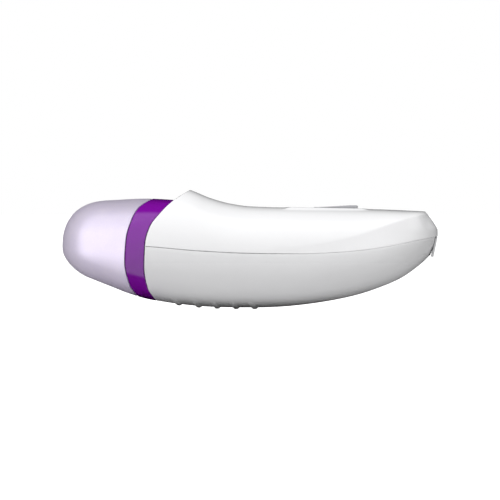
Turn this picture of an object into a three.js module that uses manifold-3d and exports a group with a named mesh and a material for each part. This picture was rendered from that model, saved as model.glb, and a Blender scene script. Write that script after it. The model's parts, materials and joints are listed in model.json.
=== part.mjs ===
// Corded rotary epilator with its protective cap on, lying on the grip ribs of its back.
//
// Frame, millimetres: +X runs to the cord inlet, -X to the tweezer head, +Z to the front face with the
// slide switch. The origin is under the middle of the body's box, on the plane of the lowest rib.
//
// The handle is two shells closed round a gearbox, a motor, a circuit board and a cord inlet. The head
// slides on over the gearbox deck, and its drum of tweezer discs is driven by a train of spur gears from a
// crown gear on the motor pinion. The cap slides over the head.

import * as THREE from 'three';
import { mergeVertices } from 'three/addons/utils/BufferGeometryUtils.js';
import Module from 'manifold-3d';

const wasm = await Module();
wasm.setup();

// ---------------------------------------------------------------------------------------------------
// Driving dimensions
// ---------------------------------------------------------------------------------------------------

const NOSE_X = -80;              // tip of the cap
const TAIL_X = 80;               // end of the handle
const SEAM = 0.15;               // half of the gap between two neighbouring outer pieces
const GAP = 0.3;                 // gap between fixed pieces that touch
const SHELL_WALL = 2.2;
const CAP_WALL = 1.6;
const RING_WALL = 2.8;
const COVER_INSET = 2.5;         // head cover, inside the cap
const COVER_WALL = 1.5;
const DECK_INSET = 3.0;          // neck deck, inside the ring and the shells
const DECK_WALL = 2.0;

const SHAFT_Z = 28;              // height of the motor and of every gear shaft
const BOARD_Z = [33, 34.2];      // circuit board
const GEARBOX_FOOT_Z = [11, 13]; // plate that the gearbox stands on
const MODULE = 0.6;              // gear module
const PRESSURE_ANGLE = THREE.MathUtils.degToRad(20);
const ADDENDUM = 0.85 * MODULE;
const DEDENDUM = 1.1 * MODULE;
const BACKLASH = 0.1;            // taken off each flank at the pitch circle
const GEAR_Y = [14.8, 16.4];     // plane of the spur gears

const DRUM_TEETH = 14;
const HEAD_GEAR_TEETH = 16;
const DRIVE_TEETH = 18;
const TRANSFER_TEETH = 14;
const CROWN_TEETH = 32;
const MOTOR_TEETH = 8;

const DRUM_X = -64.5;
const HEAD_GEAR_X = DRUM_X + MODULE * (DRUM_TEETH + HEAD_GEAR_TEETH) / 2;
const DRIVE_X = HEAD_GEAR_X + MODULE * (HEAD_GEAR_TEETH + DRIVE_TEETH) / 2;
const CROWN_X = DRIVE_X + MODULE * (DRIVE_TEETH + TRANSFER_TEETH) / 2;
const CROWN_PITCH = MODULE * CROWN_TEETH / 2;
const MOTOR_PITCH = MODULE * MOTOR_TEETH / 2;

const DISC_COUNT = 17;
const DISC_PITCH = 1.62;
const DISC_RADIUS = 8.5;
const DISC_THICKNESS = 0.35;
const DISC_BORE = 3.2;

const RIB_X = [-30.4, -21.9, -14.0, -5.9, 2.0];
const RIB_HALF_LENGTH = 13;
const RIB_FLAT_Y = 2;            // a rib runs straight across for this far on each side
const RIB_SWEEP = 3.5;           // how far the ends of a rib lie nearer the head than its middle
const RIB_HEIGHT = 0.7;
const RIB_CROWN = 0.7;           // half widths of a rib at its crown and its foot
const RIB_FOOT = 1.5;

const TRACK = { x: [17.5, 47.5], halfWidth: 5.6, depth: 0.5 };   // recess that the knob slides in
const SLOT = { x: [26.6, 39.4], halfWidth: 1.6 };                // way through for the knob's stem
const KNOB_X = [27, 46];
const KNOB_HALF_WIDTH = 4.8;
const STEM = { x: [35, 39], halfWidth: 1.2, z: [40.5, 43.2] };

const INLET_TILT = Math.atan(0.205);
const INLET_TOP = 31.1;          // the inlet face reaches TAIL_X at this height
const BEZEL_THICKNESS = 2.4;
const BEZEL_HALF_WIDTH = 10.2;
const PIN_Y = 3.2;
const PIN_RADIUS = 0.8;

// ---------------------------------------------------------------------------------------------------
// Curves of the body, side view: heights and edges in millimetres
// ---------------------------------------------------------------------------------------------------

// Monotone cubic curve through [input, output] points, level with its end values outside them.
function smooth(points) {
  const steps = points.slice(1).map(([a], i) => a - points[i][0]);
  const grades = points.slice(1).map(([, b], i) => (b - points[i][1]) / steps[i]);
  const slopes = points.map((_, i) => {
    if (i === 0) return grades[0];
    if (i === points.length - 1) return grades[i - 1];
    if (grades[i - 1] * grades[i] <= 0) return 0;
    const before = 2 * steps[i] + steps[i - 1];
    const after = steps[i] + 2 * steps[i - 1];
    return (before + after) / (before / grades[i - 1] + after / grades[i]);
  });
  return (value) => {
    const last = points.length - 1;
    if (value <= points[0][0]) return points[0][1];
    if (value >= points[last][0]) return points[last][1];
    const i = points.findIndex(([a]) => value < a) - 1;
    const t = (value - points[i][0]) / steps[i];
    const fromStart = (1 + 2 * t) * (1 - t) ** 2 * points[i][1] + t * (1 - t) ** 2 * steps[i] * slopes[i];
    const fromEnd = t * t * (3 - 2 * t) * points[i + 1][1] + t * t * (t - 1) * steps[i] * slopes[i + 1];
    return fromStart + fromEnd;
  };
}

const headTop = smooth([[-80, 45.6], [-60, 46.4], [-44, 47.1], [-33, 46.6], [-20, 45.5]]);
const headBottom = smooth([
  [-80, 17.7], [-68.3, 13.2], [-59.7, 9.8], [-51.2, 6.5], [-42.7, 4.05], [-29.9, 2.1], [-20, 1.2],
]);
const handleTop = smooth([
  [-45, 55], [-33, 52.6], [-25.6, 50.8], [-17.1, 47.4], [-8.5, 45], [0, 43.8], [12.8, 43.35],
  [38.4, 42.9], [55.5, 42.5], [74.9, 41.6],
]);
const handleBottom = smooth([
  [-42.7, 4.05], [-29.9, 2.1], [-17.1, 0.95], [-4.3, 0.65], [4.3, 0.65], [12.8, 0.95], [21.3, 1.7],
  [29.9, 2.85], [38.4, 4.35], [46.9, 6.4], [55.5, 9.3], [64, 13], [71.7, 18.3], [76, 22.2], [80, 27.5],
]);
const halfWidth = smooth([
  [-80, 22.8], [-64, 24.3], [-50, 25.5], [-40, 25.3], [-25, 24.4], [0, 22.7], [20, 22.05], [45, 22],
]);
const partingZ = smooth([
  [-80, 26.5], [-50, 27], [-21, 24.9], [0, 23.9], [21, 23.7], [40, 24.5], [55, 26.2], [70, 29.1],
  [80, 31.1],
]);

// Edges between the outer pieces, x at a height z.
const capEdge = smooth([
  [0, -43], [5.8, -48.3], [10, -51.2], [20, -53.3], [30, -52.7], [38.5, -50.3], [43.5, -47.4],
  [50, -36],
]);
const shellEdge = smooth([
  [0, -36.5], [4, -40.3], [9, -43.6], [18, -45.1], [28, -44.7], [35, -42.8], [41.5, -37.9],
  [46.5, -32.6], [50.8, -25.8], [56, -17],
]);
const tailEdge = smooth([
  [22.7, 78.3], [25.5, 79], [31, 80], [34.3, 80], [36.1, 79.3], [41.6, 74.6], [43, 73.4],
]);

// The arch of the front face is a little wider than the body, and the side facet leans in below it.
const archWidth = smooth([[0, 22.71], [10, 22.35], [25, 22.1], [45, 22.1], [60, 22.2], [80, 22.6]]);
const facetLean = smooth([[10, 0], [25, 0.08], [35, 0.137], [46, 0.24], [55, 0.32]]);
const inletFace = (z) => TAIL_X - (INLET_TOP - z) * Math.tan(INLET_TILT);

// The nose of the head closes over these lengths: towards its top, its bottom and its sides.
const NOSE_TOP = { reach: 20, power: 2.4 };
const NOSE_BOTTOM = { reach: 11.5, power: 2.2 };
const NOSE_SIDE = { reach: 16, power: 2.5 };

const HEAD_POWER = 2.4;
const ARCH_POWER = 2.2;
const TAIL_POWER = 2.6;
const TAIL_START = 50;           // the plan view narrows from here to the tail

function rounding(distance, { reach, power }) {
  const inside = Math.min(Math.max((reach - distance) / reach, 0), 1);
  return (1 - inside ** power) ** (1 / power);
}

// Half sections: (x, row) gives { y, z } on the surface, set in by a wall.
// The head's rows run from 0 at the top to 1 at the bottom.
function headSection(inset) {
  return (x, row) => {
    const depth = x - NOSE_X - inset;
    const middle = partingZ(x);
    const angle = row * Math.PI;
    const cos = Math.cos(angle);
    const upper = (headTop(x) - inset - middle) * rounding(depth, NOSE_TOP);
    const lower = (middle - headBottom(x) - inset) * rounding(depth, NOSE_BOTTOM);
    const width = (halfWidth(x) - inset) * rounding(depth, NOSE_SIDE);
    const rise = Math.sign(cos) * Math.abs(cos) ** (2 / HEAD_POWER);
    return {
      y: width * Math.abs(Math.sin(angle)) ** (2 / HEAD_POWER),
      z: middle + rise * (cos > 0 ? upper : lower),
    };
  };
}

function tailRounding(x, z, inset) {
  const reach = tailEdge(z) + 1 - inset - TAIL_START;
  return rounding(reach - Math.max(x - TAIL_START, 0), { reach, power: TAIL_POWER });
}

// Widths of the front face's arch and of the side facet at a height z.
function archAt(x, z, inset) {
  const rise = (z - partingZ(x)) / (handleTop(x) - inset - partingZ(x));
  const width = x < 10 ? halfWidth(x) + 0.01 : archWidth(x);
  return (width - inset) * (1 - Math.min(Math.max(rise, 0), 1) ** ARCH_POWER) ** (1 / ARCH_POWER);
}

function facetAt(x, z, inset) {
  return halfWidth(x) - inset - facetLean(x) * (z - partingZ(x));
}

// Height of the crease between arch and facet.
function creaseZ(x, inset) {
  let low = partingZ(x);
  let high = handleTop(x) - inset;
  for (let i = 0; i < 30; i += 1) {
    const z = (low + high) / 2;
    if (archAt(x, z, inset) > facetAt(x, z, inset)) low = z;
    else high = z;
  }
  return low;
}

const CREASE_END = 74.6;

// The handle's rows: 0 to 1 over the arch, 1 to 2 down the facet, 2 to 3 from the parting line down.
function handleSection(inset, seam) {
  return (x, row) => {
    const parting = partingZ(x);
    if (row > 2) {
      const angle = (row - 2) * Math.PI / 2;
      const depth = parting - seam - handleBottom(x) - inset;
      const z = parting - seam - depth * Math.sin(angle) ** (2 / HEAD_POWER);
      const width = (halfWidth(x) - inset) * Math.max(Math.cos(angle), 0) ** (2 / HEAD_POWER);
      return { y: width * tailRounding(x, z, inset), z };
    }
    const crease = creaseZ(Math.min(x, CREASE_END), inset);
    const height = handleTop(x) - inset - parting;
    const creaseAngle = Math.acos(Math.min((crease - parting) / height, 1) ** (ARCH_POWER / 2));
    const onArch = parting + height * Math.cos(Math.min(row, 1) * creaseAngle) ** (2 / ARCH_POWER);
    const z = row <= 1 ? onArch : crease - (crease - parting - seam) * (row - 1);
    const width = Math.min(archAt(x, z, inset), facetAt(x, z, inset));
    return { y: Math.max(row === 0 ? 0 : width, 0) * tailRounding(x, z, inset), z };
  };
}

// ---------------------------------------------------------------------------------------------------
// Shape helpers
// ---------------------------------------------------------------------------------------------------

function steps(from, to, count) {
  return Array.from({ length: count + 1 }, (_, i) => from + (to - from) * i / count);
}

// A closed body lofted over a half section and mirrored in Y. Each row starts and ends on its edges.
function loft(section, startEdge, endEdge, rows, stations) {
  const meet = (edge, row) => {
    let x = edge(SHAFT_Z);
    for (let i = 0; i < 25; i += 1) x = edge(section(x, row).z);
    return x;
  };
  const points = [];
  const spans = rows.map((row) => [meet(startEdge, row), meet(endEdge, row)]);
  for (const side of [1, -1]) {
    for (const station of stations) {
      rows.forEach((row, j) => {
        const x = spans[j][0] + (spans[j][1] - spans[j][0]) * station;
        const { y, z } = section(x, row);
        points.push(x, side * y, z);
      });
    }
  }
  const across = rows.length;
  const lastStation = stations.length - 1;
  const lastRow = across - 1;
  const right = (s, j) => s * across + j;
  const left = (s, j) => (stations.length + s) * across + j;
  const index = [];
  const quad = (a, b, c, d) => index.push(a, b, c, a, c, d);
  for (let s = 0; s < lastStation; s += 1) {
    for (let j = 0; j < lastRow; j += 1) {
      quad(right(s, j), right(s, j + 1), right(s + 1, j + 1), right(s + 1, j));
      quad(left(s, j), left(s + 1, j), left(s + 1, j + 1), left(s, j + 1));
    }
    quad(right(s, 0), right(s + 1, 0), left(s + 1, 0), left(s, 0));
    quad(right(s + 1, lastRow), right(s, lastRow), left(s, lastRow), left(s + 1, lastRow));
  }
  for (let j = 0; j < lastRow; j += 1) {
    quad(right(0, j + 1), right(0, j), left(0, j), left(0, j + 1));
    quad(right(lastStation, j), right(lastStation, j + 1), left(lastStation, j + 1), left(lastStation, j));
  }
  const geometry = new THREE.BufferGeometry();
  geometry.setAttribute('position', new THREE.Float32BufferAttribute(points, 3));
  geometry.setIndex(index);
  return geometry;
}

// A closed solid for joining and cutting, its faces pointing out.
function solid(geometry) {
  const bare = new THREE.BufferGeometry();
  bare.setAttribute('position', geometry.getAttribute('position').clone());
  if (geometry.index) bare.setIndex(geometry.index.clone());
  const merged = mergeVertices(bare, 1e-4);
  const position = merged.getAttribute('position').array;
  const corners = merged.index.array;
  const triangles = [];
  let volume = 0;
  for (let i = 0; i < corners.length; i += 3) {
    const [a, b, c] = [corners[i], corners[i + 1], corners[i + 2]];
    if (a === b || b === c || c === a) continue;
    triangles.push([a, b, c]);
    const [p, q, r] = [a, b, c].map((k) => new THREE.Vector3().fromArray(position, 3 * k));
    volume += p.dot(q.cross(r));
  }
  const facing = volume > 0 ? triangles : triangles.map(([a, b, c]) => [a, c, b]);
  return new wasm.Manifold(new wasm.Mesh({
    numProp: 3,
    vertProperties: new Float32Array(position),
    triVerts: new Uint32Array(facing.flat()),
  }));
}

function geometryOf(body) {
  const mesh = body.getMesh();
  const geometry = new THREE.BufferGeometry();
  geometry.setAttribute('position', new THREE.BufferAttribute(new Float32Array(mesh.vertProperties), 3));
  geometry.setIndex(new THREE.BufferAttribute(new Uint32Array(mesh.triVerts), 1));
  return geometry;
}

// Joins the first list of shapes and cuts the second from it.
function build(joined, cuts = [], kept = null) {
  let body = joined.map(solid).reduce((whole, shape) => whole.add(shape));
  for (const cut of cuts) body = body.subtract(solid(cut));
  if (kept) body = body.intersect(solid(kept));
  return geometryOf(body);
}

function box([x0, x1], [y0, y1], [z0, z1]) {
  const shape = new THREE.BoxGeometry(x1 - x0, y1 - y0, z1 - z0);
  return shape.translate((x0 + x1) / 2, (y0 + y1) / 2, (z0 + z1) / 2);
}

const AXES = {
  x: new THREE.Matrix4().makeBasis(
    new THREE.Vector3(0, 1, 0), new THREE.Vector3(0, 0, 1), new THREE.Vector3(1, 0, 0)),
  y: new THREE.Matrix4().makeBasis(
    new THREE.Vector3(0, 0, 1), new THREE.Vector3(1, 0, 0), new THREE.Vector3(0, 1, 0)),
  z: new THREE.Matrix4(),
};

// An outline extruded along an axis: (y, z) points along X, (z, x) along Y and (x, y) along Z.
function prism(axis, outline, from, to, holes = []) {
  const shape = new THREE.Shape(outline.map(([a, b]) => new THREE.Vector2(a, b)));
  shape.holes = holes.map((hole) => new THREE.Path(hole.map(([a, b]) => new THREE.Vector2(a, b))));
  const geometry = new THREE.ExtrudeGeometry(shape, { depth: to - from, bevelEnabled: false });
  return geometry.translate(0, 0, from).applyMatrix4(AXES[axis]);
}

function circle(radius, sides, [a, b] = [0, 0]) {
  return Array.from({ length: sides }, (_, i) => {
    const angle = 2 * Math.PI * (i + 0.5) / sides;
    return [a + radius * Math.cos(angle), b + radius * Math.sin(angle)];
  });
}

function rod(axis, radius, from, to, centre = [0, 0], sides = 16) {
  return prism(axis, circle(radius, sides, centre), from, to);
}

function tube(axis, outer, inner, from, to, centre = [0, 0], sides = 16) {
  return prism(axis, circle(outer, sides, centre), from, to, [circle(inner, sides, centre)]);
}

function roundedOutline(halfA, halfB, radius, [a, b] = [0, 0], perCorner = 3) {
  const corners = [[1, 1, 0], [-1, 1, 1], [-1, -1, 2], [1, -1, 3]];
  return corners.flatMap(([signA, signB, quarter]) => steps(0, 1, perCorner).map((t) => {
    const angle = (quarter + t) * Math.PI / 2;
    return [
      a + signA * (halfA - radius) + radius * Math.cos(angle),
      b + signB * (halfB - radius) + radius * Math.sin(angle),
    ];
  }));
}

// A wire of round section along hand-set points.
function wire(points, radius) {
  const curve = new THREE.CatmullRomCurve3(points.map((point) => new THREE.Vector3(...point)));
  const section = new THREE.Shape(circle(radius, 8).map(([a, b]) => new THREE.Vector2(a, b)));
  return new THREE.ExtrudeGeometry(section, { steps: 8, bevelEnabled: false, extrudePath: curve });
}

const pitchRadius = (teeth) => MODULE * teeth / 2;
const involute = (angle) => Math.tan(angle) - angle;

// Outline of a spur gear with involute flanks, with a tooth centred on the second axis when phase is 0.
function gearOutline(teeth, phase) {
  const pitch = pitchRadius(teeth);
  const base = pitch * Math.cos(PRESSURE_ANGLE);
  const halfAngle = (radius) => {
    const rolled = Math.acos(Math.min(base / radius, 1));
    const full = Math.PI / (2 * teeth) + involute(PRESSURE_ANGLE) - involute(rolled);
    return full - BACKLASH / pitch;
  };
  const root = pitch - DEDENDUM;
  const flank = [Math.max(base, root), pitch, pitch + ADDENDUM];
  const outline = [];
  for (let tooth = 0; tooth < teeth; tooth += 1) {
    const middle = 2 * Math.PI * (tooth + phase) / teeth;
    const place = (radius, angle) => outline.push([radius * Math.sin(angle), radius * Math.cos(angle)]);
    if (root < flank[0]) place(root, middle - halfAngle(flank[0]));
    flank.forEach((radius) => place(radius, middle - halfAngle(radius)));
    flank.toReversed().forEach((radius) => place(radius, middle + halfAngle(radius)));
    if (root < flank[0]) place(root, middle + halfAngle(flank[0]));
  }
  return outline;
}

// ---------------------------------------------------------------------------------------------------
// Materials and the scene graph
// ---------------------------------------------------------------------------------------------------

const finish = (color, roughness, metalness = 0) => (
  new THREE.MeshStandardMaterial({ color, roughness, metalness })
);
const MATERIALS = {
  white: finish(0xf4f4f5, 0.22),
  lilac: finish(0xe2d8f0, 0.3),
  purple: finish(0x6a1484, 0.12),
  grey: finish(0xb9b9be, 0.35),
  inner: finish(0xd9d9dc, 0.5),
  acetal: finish(0xf0ede2, 0.4),
  steel: finish(0xc9cbce, 0.25, 1),
  zinc: finish(0xa5a8ab, 0.4, 1),
  copper: finish(0xb87333, 0.35, 1),
  board: finish(0x2f6b3a, 0.5),
  black: finish(0x1d1d20, 0.45),
  red: finish(0xb02020, 0.45),
};

const epilator = new THREE.Group();
const handle = new THREE.Group();
const driveTrain = new THREE.Group();
const head = new THREE.Group();
const drum = new THREE.Group();
epilator.add(handle, driveTrain, head);
head.add(drum);
driveTrain.position.set(0, 0, SHAFT_Z);
drum.position.set(DRUM_X, 0, SHAFT_Z);

function add(group, name, geometry, material, position = [0, 0, 0]) {
  const mesh = new THREE.Mesh(geometry, material);
  mesh.name = name;
  mesh.position.set(...position);
  group.add(mesh);
}

// ---------------------------------------------------------------------------------------------------
// Outer pieces
// ---------------------------------------------------------------------------------------------------

// Rows and stations: finer on the outer surfaces, coarser on the walls inside.
const HEAD_ROWS = steps(0, 1, 20);
const INNER_HEAD_ROWS = steps(0, 1, 14);
const FRONT_ROWS = [...steps(0, 1, 8), ...steps(1, 2, 2).slice(1)];
const REAR_ROWS = [2 + 1e-9, ...steps(2, 3, 9).slice(1)];
const CAVITY_ROWS = [...steps(0, 1, 5), 2, ...steps(2, 3, 6).slice(1)];
const noseStations = (count) => steps(0, 1, count).map((t) => 1 - Math.cos(t * Math.PI / 2));
const handleStations = (count) => (
  steps(0, 1, count).map((t) => 0.4 * t + 0.3 * (1 - Math.cos(t * Math.PI)))
);
const shift = (edge, distance) => (z) => edge(z) + distance;
const at = (x) => () => x;
const rearEnd = shift(inletFace, -BEZEL_THICKNESS - GAP);

function headBody(inset, startEdge, endEdge, stations) {
  const rows = inset > 0 ? INNER_HEAD_ROWS : HEAD_ROWS;
  return loft(headSection(inset), startEdge, endEdge, rows, stations);
}

function handleCavity() {
  const end = (z) => Math.min(tailEdge(z), rearEnd(z)) - SHELL_WALL;
  return loft(handleSection(SHELL_WALL, 0), shift(shellEdge, 3), end, CAVITY_ROWS, handleStations(9));
}

const neckHole = () => headBody(DECK_INSET - GAP, at(-60), at(-24), steps(0, 1, 4));

function frontHousing() {
  const outer = loft(handleSection(0, SEAM), shift(shellEdge, SEAM), tailEdge, FRONT_ROWS,
    handleStations(15));
  const [head, tail] = TRACK.x;
  const floor = steps(head, tail, 4).map((x) => [handleTop(x) - TRACK.depth, x]);
  const track = prism('y', [...floor, [50, tail], [50, head]], -TRACK.halfWidth, TRACK.halfWidth);
  const slot = box(SLOT.x, [-SLOT.halfWidth, SLOT.halfWidth], [38, 50]);
  return build([outer], [handleCavity(), neckHole(), track, slot]);
}

// One grip rib: a low ridge with a flat crown, bent towards the head at its ends.
function gripRib(middleX) {
  const section = handleSection(0, SEAM);
  const surfaceZ = (x, y) => {
    let low = 2.5;
    let high = 3;
    for (let i = 0; i < 30; i += 1) {
      const row = (low + high) / 2;
      if (section(x, row).y > y) low = row;
      else high = row;
    }
    return section(x, low).z;
  };
  const beside = [RIB_FLAT_Y, 5, 8, 10.5, RIB_HALF_LENGTH];
  const across = [...beside.toReversed().map((y) => -y), ...beside];
  const points = [];
  for (const y of across) {
    const out = Math.abs(y) - RIB_FLAT_Y;
    const fade = 1 - (out / (RIB_HALF_LENGTH - RIB_FOOT)) ** 4;
    const x = middleX - RIB_SWEEP * (out / RIB_HALF_LENGTH) ** 2;
    const surface = surfaceZ(x, Math.abs(y));
    const crown = Math.max(surface - RIB_HEIGHT * Math.max(fade, 0.15), 0);
    const root = surface + 0.9;
    points.push([x - RIB_FOOT - 0.2, y, root], [x - RIB_FOOT, y, surface], [x - RIB_CROWN, y, crown]);
    points.push([x + RIB_CROWN, y, crown], [x + RIB_FOOT, y, surface], [x + RIB_FOOT + 0.2, y, root]);
  }
  const around = 6;
  const last = across.length - 1;
  const index = [];
  const quad = (a, b, c, d) => index.push(a, b, c, a, c, d);
  for (let s = 0; s < last; s += 1) {
    for (let j = 0; j < around; j += 1) {
      const k = (j + 1) % around;
      quad(s * around + j, s * around + k, (s + 1) * around + k, (s + 1) * around + j);
    }
  }
  for (let j = 1; j < around - 1; j += 1) {
    index.push(0, j + 1, j, last * around, last * around + j, last * around + j + 1);
  }
  const geometry = new THREE.BufferGeometry();
  geometry.setAttribute('position', new THREE.Float32BufferAttribute(points.flat(), 3));
  geometry.setIndex(index);
  return geometry;
}

const GEARBOX_POSTS = [[-31, -8.5], [-31, 8.5]];
const BOARD_POSTS = [[22, 10], [58, -10]];
const POST_RADIUS = 2.6;
const SCREW_BORE = 1.3;
const SOCKET = { x: [66, 75], y: 7, z: [23, 30.2] };

function rearHousing() {
  const outer = loft(handleSection(0, SEAM), shift(shellEdge, SEAM), rearEnd, REAR_ROWS,
    handleStations(14));
  const posts = [
    ...GEARBOX_POSTS.map((place) => rod('z', POST_RADIUS, 0, GEARBOX_FOOT_Z[0] - GAP, place)),
    ...BOARD_POSTS.map((place) => rod('z', POST_RADIUS, 0, BOARD_Z[0] - GAP, place)),
  ];
  const bores = [
    ...GEARBOX_POSTS.map((place) => rod('z', SCREW_BORE, 4, GEARBOX_FOOT_Z[0], place, 12)),
    ...BOARD_POSTS.map((place) => rod('z', SCREW_BORE, 26, BOARD_Z[0], place, 12)),
  ];
  const socketWell = box([60, 80], [-SOCKET.y - GAP, SOCKET.y + GAP], [SOCKET.z[0] - GAP, 40]);
  const shell = solid(outer).subtract(solid(handleCavity())).subtract(solid(neckHole()));
  const inside = posts.map(solid).reduce((whole, post) => whole.add(post));
  const column = solid(loft(handleSection(1, SEAM), shift(shellEdge, 4), rearEnd, REAR_ROWS,
    handleStations(14))).add(solid(box([-40, 70], [-14, 14], [20, 33])));
  let body = shell.add(inside.intersect(column)).subtract(solid(socketWell));
  for (const bore of bores) body = body.subtract(solid(bore));
  for (const x of RIB_X) body = body.add(solid(gripRib(x)));
  return geometryOf(body);
}

const GEAR_WINDOW_Y = [14.4, 16.8];
const TONGUE_Z = [[39.5, 41], [12, 13.5]];   // the head's tongues slide into slots of the deck
const TONGUE_HALF_WIDTH = 4;

function neckDeck() {
  const ends = [shift(capEdge, 0.5), shift(shellEdge, 5)];
  const outer = headBody(DECK_INSET, ...ends, steps(0, 1, 3));
  const hollow = headBody(DECK_INSET + DECK_WALL, shift(capEdge, 2.3), shift(shellEdge, 8),
    steps(0, 1, 3));
  const gearWindow = box([-60, -40], GEAR_WINDOW_Y, [SHAFT_Z - 6.6, SHAFT_Z + 6.6]);
  const slots = TONGUE_Z.map(([low, high]) => (
    box([-60, -44], [-TONGUE_HALF_WIDTH - GAP, TONGUE_HALF_WIDTH + GAP], [low - GAP, high + GAP])
  ));
  return build([outer], [hollow, gearWindow, ...slots]);
}

function protectiveCap() {
  const outer = headBody(0, at(NOSE_X), shift(capEdge, -SEAM), noseStations(10));
  const hollow = headBody(CAP_WALL, at(NOSE_X + CAP_WALL), shift(capEdge, 3), noseStations(8));
  return build([outer], [hollow]);
}

function trimRing() {
  const outer = headBody(0, shift(capEdge, SEAM), shift(shellEdge, -SEAM), steps(0, 1, 3));
  const hollow = headBody(RING_WALL, at(-60), at(-24), steps(0, 1, 4));
  return build([outer], [hollow]);
}

add(handle, 'front_housing', frontHousing(), MATERIALS.white);
add(handle, 'rear_housing', rearHousing(), MATERIALS.white);
add(handle, 'trim_ring', trimRing(), MATERIALS.purple);
add(handle, 'neck_deck', neckDeck(), MATERIALS.inner);
add(head, 'protective_cap', protectiveCap(), MATERIALS.lilac);

// ---------------------------------------------------------------------------------------------------
// Cord inlet
// ---------------------------------------------------------------------------------------------------

const INLET_Z = 26.6;            // middle of the hole for the plug
const INLET_HALF_HEIGHT = 2.6;
const INLET_HALF_WIDTH = 5.6;
const BEZEL_Z = [22.3, 30.3];

const inletHole = (from, to) => prism('x',
  roundedOutline(INLET_HALF_WIDTH, INLET_HALF_HEIGHT, 1.2, [0, INLET_Z]), from, to);

function inletBezel() {
  const middle = [0, (BEZEL_Z[0] + BEZEL_Z[1]) / 2];
  const halfHeight = (BEZEL_Z[1] - BEZEL_Z[0]) / 2;
  const outline = roundedOutline(BEZEL_HALF_WIDTH, halfHeight, 1.6, middle);
  const plate = prism('x', outline, -BEZEL_THICKNESS, 0);
  const lean = new THREE.Matrix4().makeShear(0, 0, 0, 0, Math.tan(INLET_TILT), 0);
  plate.applyMatrix4(lean);
  plate.translate(inletFace(0), 0, 0);
  return build([plate], [inletHole(70, 84)]);
}

function inletSocket() {
  const [back, front] = SOCKET.x;
  const block = box([back, front], [-SOCKET.y, SOCKET.y], SOCKET.z);
  const holes = [-PIN_Y, PIN_Y].map((y) => (
    rod('x', PIN_RADIUS + GAP, back - 1, back + 4, [y, INLET_Z], 12)
  ));
  return build([block], [inletHole(back + 2.5, front + 1), ...holes]);
}

add(handle, 'inlet_bezel', inletBezel(), MATERIALS.grey);
add(handle, 'inlet_socket', inletSocket(), MATERIALS.black);
for (const [side, y] of [['left', -PIN_Y], ['right', PIN_Y]]) {
  add(handle, `inlet_pin_${side}`, rod('x', PIN_RADIUS, 65.2, 75.4, [0, 0], 12), MATERIALS.steel,
    [0, y, INLET_Z]);
}

// ---------------------------------------------------------------------------------------------------
// Switch, circuit board and wiring
// ---------------------------------------------------------------------------------------------------

function circuitBoard() {
  const holes = BOARD_POSTS.map((place) => circle(SCREW_BORE, 12, place));
  return prism('z', roundedOutline(24, 13, 1, [40, 0], 2), BOARD_Z[0], BOARD_Z[1], holes);
}

// A wedge that rises towards the cord end, on a stem through the slot.
function switchKnob() {
  const [thin, thick] = KNOB_X;
  const bottom = (x) => handleTop(x) - TRACK.depth + GAP;
  const profile = [
    [bottom(thin), thin], [bottom(thick), thick], [44.05, thick], [44.4, thick - 0.8],
    [44.3, thick - 2.5], [43.45, thin + 2], [43.3, thin + 0.6],
  ];
  const wedge = prism('y', profile, -KNOB_HALF_WIDTH, KNOB_HALF_WIDTH);
  const stem = box(STEM.x, [-STEM.halfWidth, STEM.halfWidth], STEM.z);
  return build([wedge, stem]);
}

// Screw with its head standing on the origin.
function screw() {
  return build([rod('z', 1, -7, 0.1, [0, 0], 10), rod('z', 2, 0, 1.3, [0, 0], 12)]);
}

add(handle, 'circuit_board', circuitBoard(), MATERIALS.board);
add(handle, 'slide_switch', box([25, 43], [-4, 4], [BOARD_Z[1] + GAP, 37.9]), MATERIALS.black);
add(handle, 'filter_capacitor', rod('x', 2.3, -5.5, 5.5, [0, 0], 16), MATERIALS.copper, [53, 0, 36.9]);
add(handle, 'switch_knob', switchKnob(), MATERIALS.grey);
add(handle, 'switch_carrier', box([30, 44], [-3.2, 3.2], [39.3, 40.2]), MATERIALS.inner);
add(handle, 'switch_lever', box([36, 38], [-1, 1], [38.2, 39]), MATERIALS.black);
BOARD_POSTS.forEach(([x, y], i) => {
  add(handle, `board_screw_${i + 1}`, screw(), MATERIALS.zinc, [x, y, BOARD_Z[1] + GAP]);
});
for (const [colour, y] of [['red', -4], ['black', 4]]) {
  const motorRoute = [[14.6, y, 28], [16.4, y, 28.4], [17.7, y, 30], [18, y, 32.6]];
  const inletRoute = [[64.8, 0.8 * y, INLET_Z], [62, 0.8 * y, 27.4], [60, 0.8 * y, 30],
    [59.6, 0.8 * y, 32.6]];
  add(handle, `motor_lead_${colour}`, wire(motorRoute, 0.6), MATERIALS[colour]);
  add(handle, `inlet_lead_${colour}`, wire(inletRoute, 0.6), MATERIALS[colour]);
}

// ---------------------------------------------------------------------------------------------------
// Motor and gearbox
// ---------------------------------------------------------------------------------------------------

const MOTOR_X = [-21.5, 8.4];
const MOTOR_RADIUS = 12;
const SHAFT_RADIUS = 1.2;
const BORE_RADIUS = 1.35;

function motorCan() {
  const profile = [
    [2.5, MOTOR_X[0]], [MOTOR_RADIUS, MOTOR_X[0]], [MOTOR_RADIUS, MOTOR_X[1]],
    [MOTOR_RADIUS - 0.9, MOTOR_X[1]], [MOTOR_RADIUS - 0.9, MOTOR_X[0] + 1], [2.5, MOTOR_X[0] + 1],
    [2.5, MOTOR_X[0]],
  ];
  const can = new THREE.LatheGeometry(profile.map(([r, x]) => new THREE.Vector2(r, x)), 24);
  return build([can.rotateZ(-Math.PI / 2)]);
}

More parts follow.
